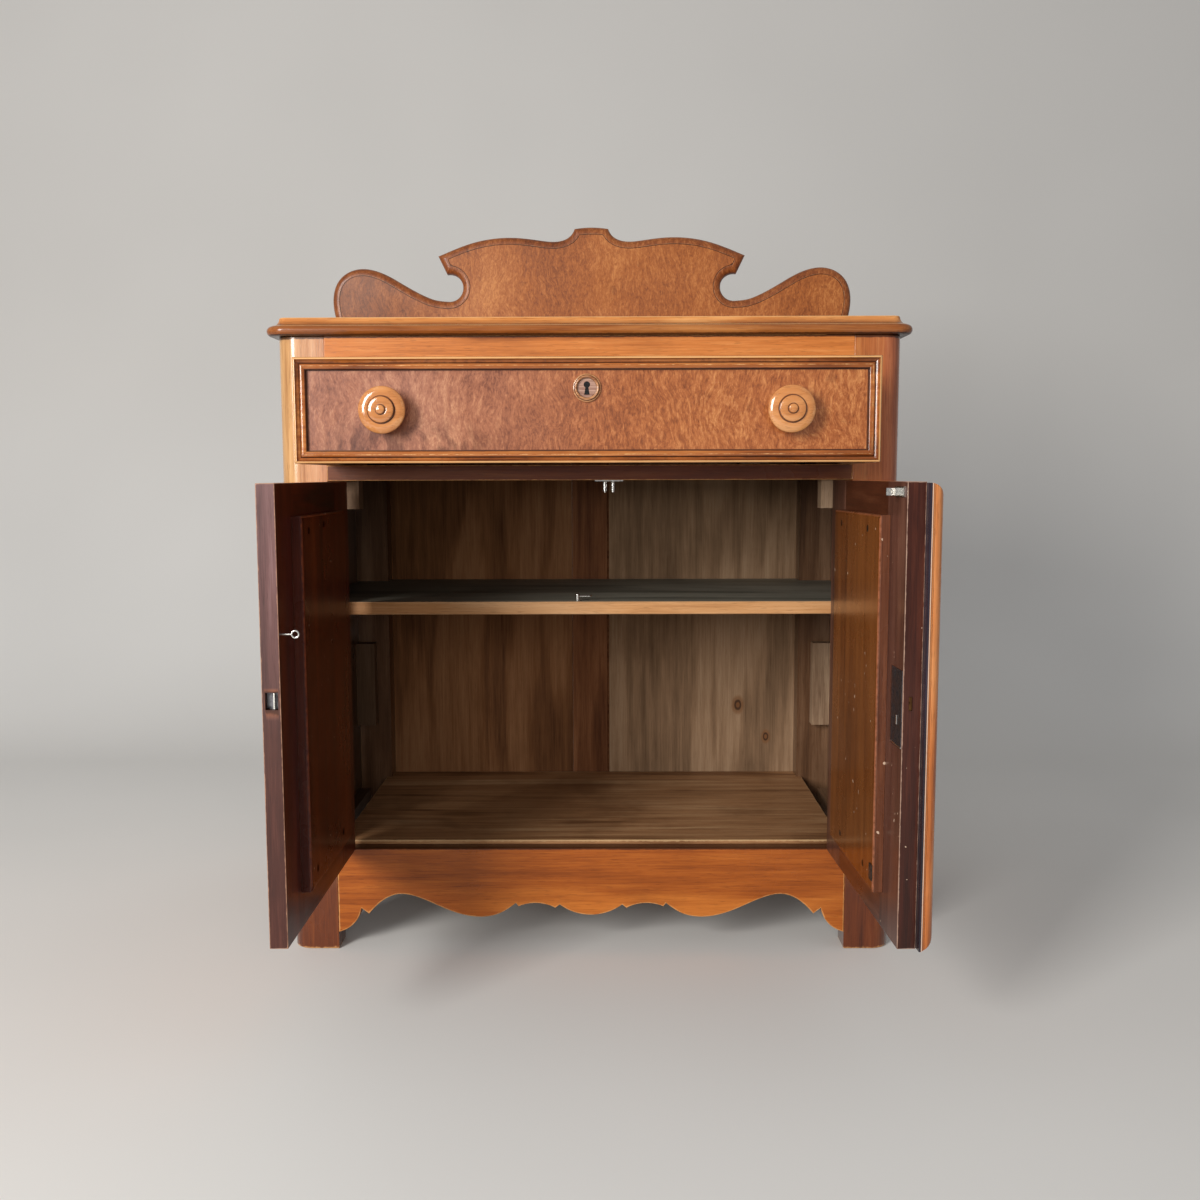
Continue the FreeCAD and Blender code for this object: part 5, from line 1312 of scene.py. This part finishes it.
def turned(profile, centre):
    """Surface of revolution about y: point (r cos a + x0, y, r sin a + z0)."""
    radius, out = profile[:, 0], profile[:, 1]
    angle = np.linspace(0, 2 * math.pi, AROUND, endpoint=False)[:, None]
    x = centre[0] + radius * np.cos(angle)
    z = centre[2] + radius * np.sin(angle)
    y = np.broadcast_to(centre[1] - out, x.shape)
    grid = np.stack([x, y, z], -1)
    rows, columns = grid.shape[:2]
    closed = np.concatenate([grid, grid[:1]])
    faces = grid_faces(rows + 1, columns).tolist()
    faces.append([c * columns for c in range(rows)])
    return closed.reshape(-1, 3), faces


def round_about(mark):
    """A mark along the profile, given to every turn of it, the closing one too."""
    return np.tile(mark, AROUND + 1)


KNOB = joined([(5, -14), (5, 0)], arc((11.5, 0), (12.3, 1.4), (11.0, 2.8), 7),
              arc((11.0, 2.8), (9.2, 7.0), (13.5, 11.5), 12),
              arc((13.5, 11.5), (20.5, 14.5), (23.6, 17.0), 10),
              arc((23.6, 17.0), (24.8, 19.2), (23.6, 21.2), 12),
              arc((23.6, 21.2), (19.0, 23.0), (13.9, 23.1), 14), [(13.6, 22.7), (13.3, 22.8)],
              arc((13.5, 25.6), (13.3, 26.6), (12.3, 27.1), 6),
              arc((12.3, 27.1), (9.0, 27.7), (5.5, 27.4), 9), [(5.2, 27.0), (4.8, 27.1)],
              arc((4.4, 27.8), (4.7, 29.3), (3.0, 30.5), 9), [(1.4, 30.9), (0.001, 31.0)])
# Dark rings at the foot of the disc and of the button: dirt with painted shade.
knob_dirt_and_shade = (abs(KNOB[:, 0] - 13.9) < 0.9) * (KNOB[:, 1] > 20) * (KNOB[:, 1] < 24)
knob_dirt_and_shade = knob_dirt_and_shade + 0.9 * (abs(KNOB[:, 0] - 5.1) < 0.5) * (KNOB[:, 1] > 20)
for side, word in ((1, "right"), (-1, "left")):
    points, faces = turned(KNOB, (side * 213.7, 6.0, 651.5))
    # The rubbed ring on the rim is wear with a painted highlight.
    make_piece("knob_" + word, points, faces, "drawer", ["drawer_knob_" + word], knob_wood,
               pose=pulled_out, crease=38.0,
               marks={"wear": round_about((abs(KNOB[:, 1] - 20) < 2.5) * 0.5),
                      "grime_and_shade": round_about(knob_dirt_and_shade)})
print("knobs turned from", len(KNOB), "profile points")

# %% [markdown]
# ## Keyhole ring
# A small turning in two steps stands round the drawer's keyhole, and the hole is cut into the plate
# inside it, down to a thin floor that is painted black as the shade of a deep hole. The hole is an
# eye with a slot that widens downwards. It isn't round, so it can't be turned, and a boolean cuts
# it.

# %% Keyhole ring and its keyhole
RING = joined([(15, 0), (15, 1.2)], arc((15, 1.2), (14.7, 2.2), (13.7, 2.7), 6),
              [(13.3, 2.4), (13.0, 2.4)], arc((12.9, 2.8), (12.2, 4.8), (10.7, 4.1), 10),
              [(10.2, 3.2), (10.0, 1.5), (9.6, 1.5), (5.0, 1.5), (0.001, 1.5)])
points, faces = turned(RING, RING_AT)
ring_dirt = (abs(RING[:, 0] - 13.1) < 0.3) * 0.9 + (RING[:, 1] < 0.5) * 0.8
ring_dirt += (RING[:, 0] < 10.3) * (RING[:, 0] > 9.7) * 0.7
ring = make_piece("drawer_turned_ring", points, faces, "drawer", ["drawer_keyhole_ring"],
                  ring_wood, pose=pulled_out, marks={"grime_and_shade": round_about(ring_dirt)},
                  crease=38.0)
eye = 3.4 * np.exp(1j * np.radians(np.linspace(-62, 242, 24)))
hole = joined(np.column_stack([eye.real, eye.imag + 3.4]), [(-2.9, -7.2), (2.9, -7.2)])
points, faces = loft(hole + RING_AT[[0, 2]], [(RING_AT[1] - 3.0, 0), (RING_AT[1] - 0.3, 0)])
cut_away(ring, points[:, [0, 2, 1]], faces, pulled_out, marks=())
print("keyhole cut from", len(hole), "outline points")

# %% [markdown]
# ## Doors
# Each door is a frame of stiles and rails round a thin panel, with a backing board screwed over
# the inside. Made as one slab a door would have no joints; made as boards, its grain turns at each
# corner. Outside it is polished like the drawer; inside the old varnish has gone nearly black. A
# mark on every point says how far it lies towards the inner face, and the finish changes with it.

# %% Door sizes and marks
EDGE, MEET = 310.5, 0.7
WIDE = EDGE - MEET
DOOR_LOW, DOOR_HIGH, THICK, FRAME = 128.5, 576.5, 18.0, 66.0
PANEL_LOW, PANEL_HIGH = DOOR_LOW + FRAME, DOOR_HIGH - FRAME


def door_marks(free_edge, side):
    """Marks of one door board: inner face, free edge with a painted cool sheen above and warm tones
    below, rubbed only along the arrises that hands reach."""
    def inner(points):
        """Rises from 0 to 1 over the last 2 mm of the thickness."""
        return np.clip((points[:, 1] - 15.8) / 2.0, 0, 1)

    def edge(points):
        """1 on the edge where the doors meet, which lies furthest from the hinge edge."""
        s = EDGE - side * points[:, 0]
        return np.clip((s - WIDE + 1.5) / 1.3, 0, 1) * free_edge

    def edge_low(points):
        """The same edge, coming in below 500 mm."""
        return edge(points) * np.clip((500 - points[:, 2]) / 160, 0, 1)

    return {"inner": inner, "edge": edge, "edge_low": edge_low}


def door_box(side, s, y, z):
    """Corners of a box given by distances s from the hinge edge."""
    return ((side * (EDGE - s[0]), y[0], z[0]), (side * (EDGE - s[1]), y[1], z[1]))


print("each door is", WIDE, "mm wide and", DOOR_HIGH - DOOR_LOW, "mm high")

# %% [markdown]
# One function frames a door, and a second one fills the frame. The CAD model has one node for both
# stiles and one for both rails, so the first board of each pair stands for it.


# %% Frames, panels and backing boards
def build_frame(word, side, pose, stile_wood, rail_wood, recesses):
    """Two stiles with their recesses, and two rails between them."""
    body = word + "_door"
    for label, s, boxes in (("hinge", (0, FRAME), recesses[0]),
                            ("meeting", (WIDE - FRAME, WIDE), recesses[1])):
        low, high = door_box(side, s, (0, THICK), (DOOR_LOW, DOOR_HIGH))
        replaced = [body + "_stiles"] if label == "hinge" else []
        stile = make_board(f"{word}_{label}_stile", low, high, body, replaced, stile_wood, pose,
                           0.8, 20 + side, door_marks(label == "meeting", side),
                           rub_where=lambda p: EDGE - side * p[:, 0] > WIDE - 8)
        cut_recesses(stile, boxes, pose)
    for label, z in (("foot", (DOOR_LOW, PANEL_LOW)), ("head", (PANEL_HIGH, DOOR_HIGH))):
        low, high = door_box(side, (FRAME, WIDE - FRAME), (0, THICK - 0.1), z)
        replaced = [body + "_rails"] if label == "foot" else []
        make_board(f"{word}_{label}_rail", low, high, body, replaced, rail_wood, pose, 0.4,
                   24 + side, door_marks(False, side), rub_where=lambda p: p[:, 2] < 0)


def fill_frame(word, side, pose, backing):
    """The thin panel, the moulding round it outside and the backing board over it inside."""
    body = word + "_door"
    low, high = door_box(side, (FRAME, WIDE - FRAME), (6, THICK - 0.1), (PANEL_LOW, PANEL_HIGH))
    make_board(f"{word}_veneered_panel", low, high, body, [body + "_panel"], burl_doors, pose,
               0.5, 30)
    x = sorted((side * (EDGE - FRAME), side * (EDGE - WIDE + FRAME)))
    points, faces, marks = moulding_frame((x[0], PANEL_LOW), (x[1], PANEL_HIGH), 16.0, 6.0, -4.0)
    make_piece(f"{word}_panel_moulding", points, faces, body, [body + "_moulding"],
               moulding_wood, pose=pose, marks=marks, crease=40.0)
    near, far = side * (EDGE - 62), side * (EDGE - 255)
    corners = [(near, 165), (far, 165), (far, 544), (near, 544)]
    outline = filled_in(rounded_outline(corners if side < 0 else corners[::-1], [0.8] * 4, 4), 5)
    stations = [(THICK + 0.02, 0), (THICK + 1.4, 0), (THICK + 8.6, 0), (THICK + 9.0, 0.25),
                (THICK + 10.5, 1.75), (THICK + 10.8, 2.4), (THICK + 10.8, 6.0)]
    points, faces = loft(outline, stations)
    # The first row's dark mark paints the shadow line where the board's edge meets the frame.
    worn = np.repeat([0, 0, 0.1, 0.6, 0.75, 0.2, 0], len(outline))
    make_piece(f"{word}_backing_board", points[:, [0, 2, 1]], faces, body, [body + "_backing"],
               backing, pose=pose,
               marks={"wear": worn, "side": np.repeat([1, 1, 1, 0.8, 0, 0, 0], len(outline)),
                      "grime_and_shade": np.repeat([1.0, 0, 0, 0, 0, 0, 0], len(outline))})


def hinge_boxes(side):
    """The leaves' recesses in the hinge edge, at the same heights as in the post."""
    return [((side * 310.6, -2.0, low), (side * 308.9, 16.8, high)) for low, high in HINGES]


LOCK_SKIN = 2.2
lock_boxes = [((MEET + LOCK_SKIN, 7.0, 324), (39.5, 19.0, 399))]
slot_boxes = [((MEET - 1, 8.7, 361.2), (MEET + LOCK_SKIN + 0.6, 12.3, 374.8))]
strike_boxes = [((-MEET + 1, 3.2, 362.8), (-MEET - 7.2, 15.6, 379.4))]
build_frame("right", 1, right_open, door_right_wood, right_rail_wood,
            [hinge_boxes(1), lock_boxes])
fill_frame("right", 1, right_open, backing_right)
cut_recesses(bpy.data.objects["right_meeting_stile"], slot_boxes, right_open, ("edge",))
build_frame("left", -1, left_open, door_wood, door_rail_wood, [hinge_boxes(-1), strike_boxes])
fill_frame("left", -1, left_open, backing_left)
print("two doors framed and filled")

# %% [markdown]
# ## Lock and strike
# The lock is let into the inner face of the right door, behind a thin skin of wood, and held by
# black iron plate. Its bolt shows as a small worn end. The left door has a mortise with the bent
# remains of an iron strike in it. Filed plates are boards with a very fine arris, so the board
# formula makes them as well.

# %% Lock plate, bolt and strike
plates = {
    "right_lock_plate": ((MEET + LOCK_SKIN + 0.1, 7.2, 324.2), (39.3, 18.3, 398.8), 0.7,
                         "right_door", "right_door_lock_case", japanned, right_open),
    "right_lock_bolt": ((MEET + 0.3, 9.0, 361.5), (22.0, 12.0, 374.5), 0.6, "door_bolt",
                        "right_door_lock_bolt", worn_brass, right_open),
    "right_lock_tab": ((310.5 - 289, 18.2, 345), (310.5 - 292.2, 18.9, 354), 0.3, "right_door",
                       None, steel, right_open),
    "right_lock_foot": ((MEET + LOCK_SKIN + 0.2, 17.6, 324.3), (39.2, 18.8, 325.8), 0.4,
                        "right_door", None, steel, right_open),
    "left_strike_back": ((-MEET - 5.6, 3.3, 362.9), (-MEET - 7.1, 15.5, 379.3), 0.4,
                         "left_door", "left_door_strike_plate", japanned, left_open),
    "left_strike_lip": ((-MEET - 1.2, 10.6, 363.4), (-MEET - 5.8, 12.0, 379.0), 0.4,
                        "left_door", None, steel, left_open),
}
for name, (low, high, arris, body, node, finish, pose) in plates.items():
    make_board(name, low, high, body, [node] if node else [], finish, pose, arris, 50)
print("lock fittings:", ", ".join(plates))

# %% [markdown]
# ## Lap strip
# A half-round bead on a flat foot covers the gap between the doors. It stands on the right door.
# The section is carried up the door; near each end the front is limited by a quarter circle, so
# the strip dies away as a carver would round it. A boolean could cut the ends, but the limit keeps
# every line of the bead running into them.

# %% Lap strip
S_LOW, S_HIGH = 294.0, 319.8
MIDDLE = (S_LOW + S_HIGH) / 2
END, PROUD, ALONG = 15.0, 15.9, 38
section = joined([(S_LOW, -0.02), (S_LOW, -3.0)], arc((S_LOW, -3.0), (S_LOW + 0.15, -3.3),
                 (S_LOW + 0.5, -3.4), 4), [(S_LOW + 1.4, -3.4), (S_LOW + 1.6, -3.8)],
                 arc((S_LOW + 1.6, -5.0), (S_LOW + 1.9, -5.5), (S_LOW + 2.4, -5.6), 4),
                 arc((MIDDLE - 10.3, -5.6), (MIDDLE, -PROUD), (MIDDLE + 10.3, -5.6), 30),
                 arc((S_HIGH - 2.4, -5.6), (S_HIGH - 1.9, -5.5), (S_HIGH - 1.6, -5.0), 4),
                 [(S_HIGH - 1.6, -3.8), (S_HIGH - 1.4, -3.4)],
                 arc((S_HIGH - 0.5, -3.4), (S_HIGH - 0.15, -3.3), (S_HIGH, -3.0), 4),
                 [(S_HIGH, -2.5), (S_HIGH, -2.1), (S_HIGH, -0.5), (S_HIGH - 0.3, -0.3),
                  (WIDE, -0.3), (WIDE, -0.02)])
low, high = DOOR_LOW + 1, DOOR_HIGH - 1
turn = np.linspace(0, math.pi / 2, 12)
ends = END * (1 - np.cos(turn))
heights = np.concatenate([low + ends, np.linspace(low + END, high - END, ALONG + 2)[1:-1],
                          (high - ends)[::-1]])
quarter = -0.9 - END * np.sin(turn)
limit = np.concatenate([quarter, np.full(ALONG, -PROUD), quarter[::-1]])
y = np.maximum(section[None, :, 1], limit[:, None])
x = np.broadcast_to(EDGE - section[None, :, 0], y.shape)
z = np.broadcast_to(heights[:, None], y.shape)
rows, columns = y.shape
faces = grid_faces(rows, columns, around=True).tolist()
faces += [list(range(columns)), list(range((rows - 1) * columns, rows * columns))]
lift = -section[:, 1]
worn = (lift > 2.3) * (lift < 3.5) * 0.9 + np.clip(1 - abs(lift - 5.6) / 0.4, 0, 1) * 0.5
# The base mark paints the flat foot in shade with a bluish reflection.
make_piece("right_lap_bead", np.stack([x, y, z], -1).reshape(-1, 3), faces, "right_door",
           ["right_door_lap_strip"], lap_wood, pose=right_open, crease=36.0,
           marks={"wear": np.tile(worn, rows), "base": np.tile((lift < 2.2) * 1.0, rows)})
print("lap strip", rows, "x", columns, "points")

# %% [markdown]
# ## Studio
# The cabinet stands on a pale floor that runs up into a pale wall in one curve, so no line crosses
# the view. A tall soft light at the left front stands for a window, a wide faint one fills the
# shadows, and the world adds a little from all sides.


# %% Floor, wall and lights
def studio_sheet():
    """A sheet that is floor, quarter circle and wall: one profile carried along x."""
    a = np.linspace(-math.pi / 2, 0, 16)
    bend = np.column_stack([0.95 + 0.9 * np.cos(a), 0.9 + 0.9 * np.sin(a)])
    profile = np.concatenate([[[-14.0, 0.0]], bend, [[1.85, 9.0]]])
    x = np.linspace(-14, 14, 3)[:, None]
    shape = (3, len(profile))
    grid = np.stack([np.broadcast_to(x, shape), np.broadcast_to(profile[:, 0], shape),
                     np.broadcast_to(profile[:, 1] - 0.0002, shape)], -1)
    mesh = bpy.data.meshes.new("studio")
    mesh.from_pydata(grid.reshape(-1, 3).tolist(), [], grid_faces(*shape).tolist())
    mesh.shade_smooth()
    sheet = new_object("studio", mesh)
    r = Recipe("studio_paint")
    tone = r.ramp(r.noise(r.place, 1.3, 2.0), (0.3, paint(226, 224, 220)),
                  (0.7, paint(232, 230, 226)))
    path = r.add("ShaderNodeLightPath").outputs
    seen = r.math("MAXIMUM", path["Is Camera Ray"], path["Is Glossy Ray"])
    seen = r.math("MAXIMUM", seen, path["Is Transmission Ray"])
    wall = r.between(r.along("Z"), 0.0, 0.6)
    tone = r.mix(r.math("MAXIMUM", seen, wall), paint(104, 88, 72), tone)
    mesh.materials.append(r.surface(Base_Color=tone, Roughness=0.85))
    sheet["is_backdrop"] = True


def soft_light(name, place, target, width, height, power, colour, glossy=True):
    """A lamp the size of a window that looks at a target; glossy off keeps it out of polish."""
    data = bpy.data.lights.new(name, "AREA")
    data.shape, data.size, data.size_y = "RECTANGLE", width, height
    data.energy, data.color = power, colour
    lamp = new_object(name, data)
    way = Vector(target) - Vector(place)
    lamp.location = place
    lamp.rotation_euler = way.to_track_quat("-Z", "Y").to_euler()
    lamp.visible_glossy = glossy


studio_sheet()
soft_light("window", (-1.8, -2.7, 1.4), (0.1, 0.1, 0.5), 0.9, 1.5, 100, (1.0, 0.98, 0.95))
soft_light("fill", (0.0, -3.2, 0.9), (0.0, 0.1, 0.35), 1.6, 1.4, 25, (1.0, 0.98, 0.95), False)
world = bpy.data.worlds.new("room")
world.use_nodes = True
world.node_tree.nodes["Background"].inputs[0].default_value = (0.92, 0.95, 1.0, 1.0)
world.node_tree.nodes["Background"].inputs[1].default_value = 0.32
bpy.context.scene.world = world
bpy.context.scene.view_settings.view_transform = "Standard"
print("studio lit")

# %% Measure and finish
low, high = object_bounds()
print("visual box", [round(1000 * v, 1) for v in low], [round(1000 * v, 1) for v in high])
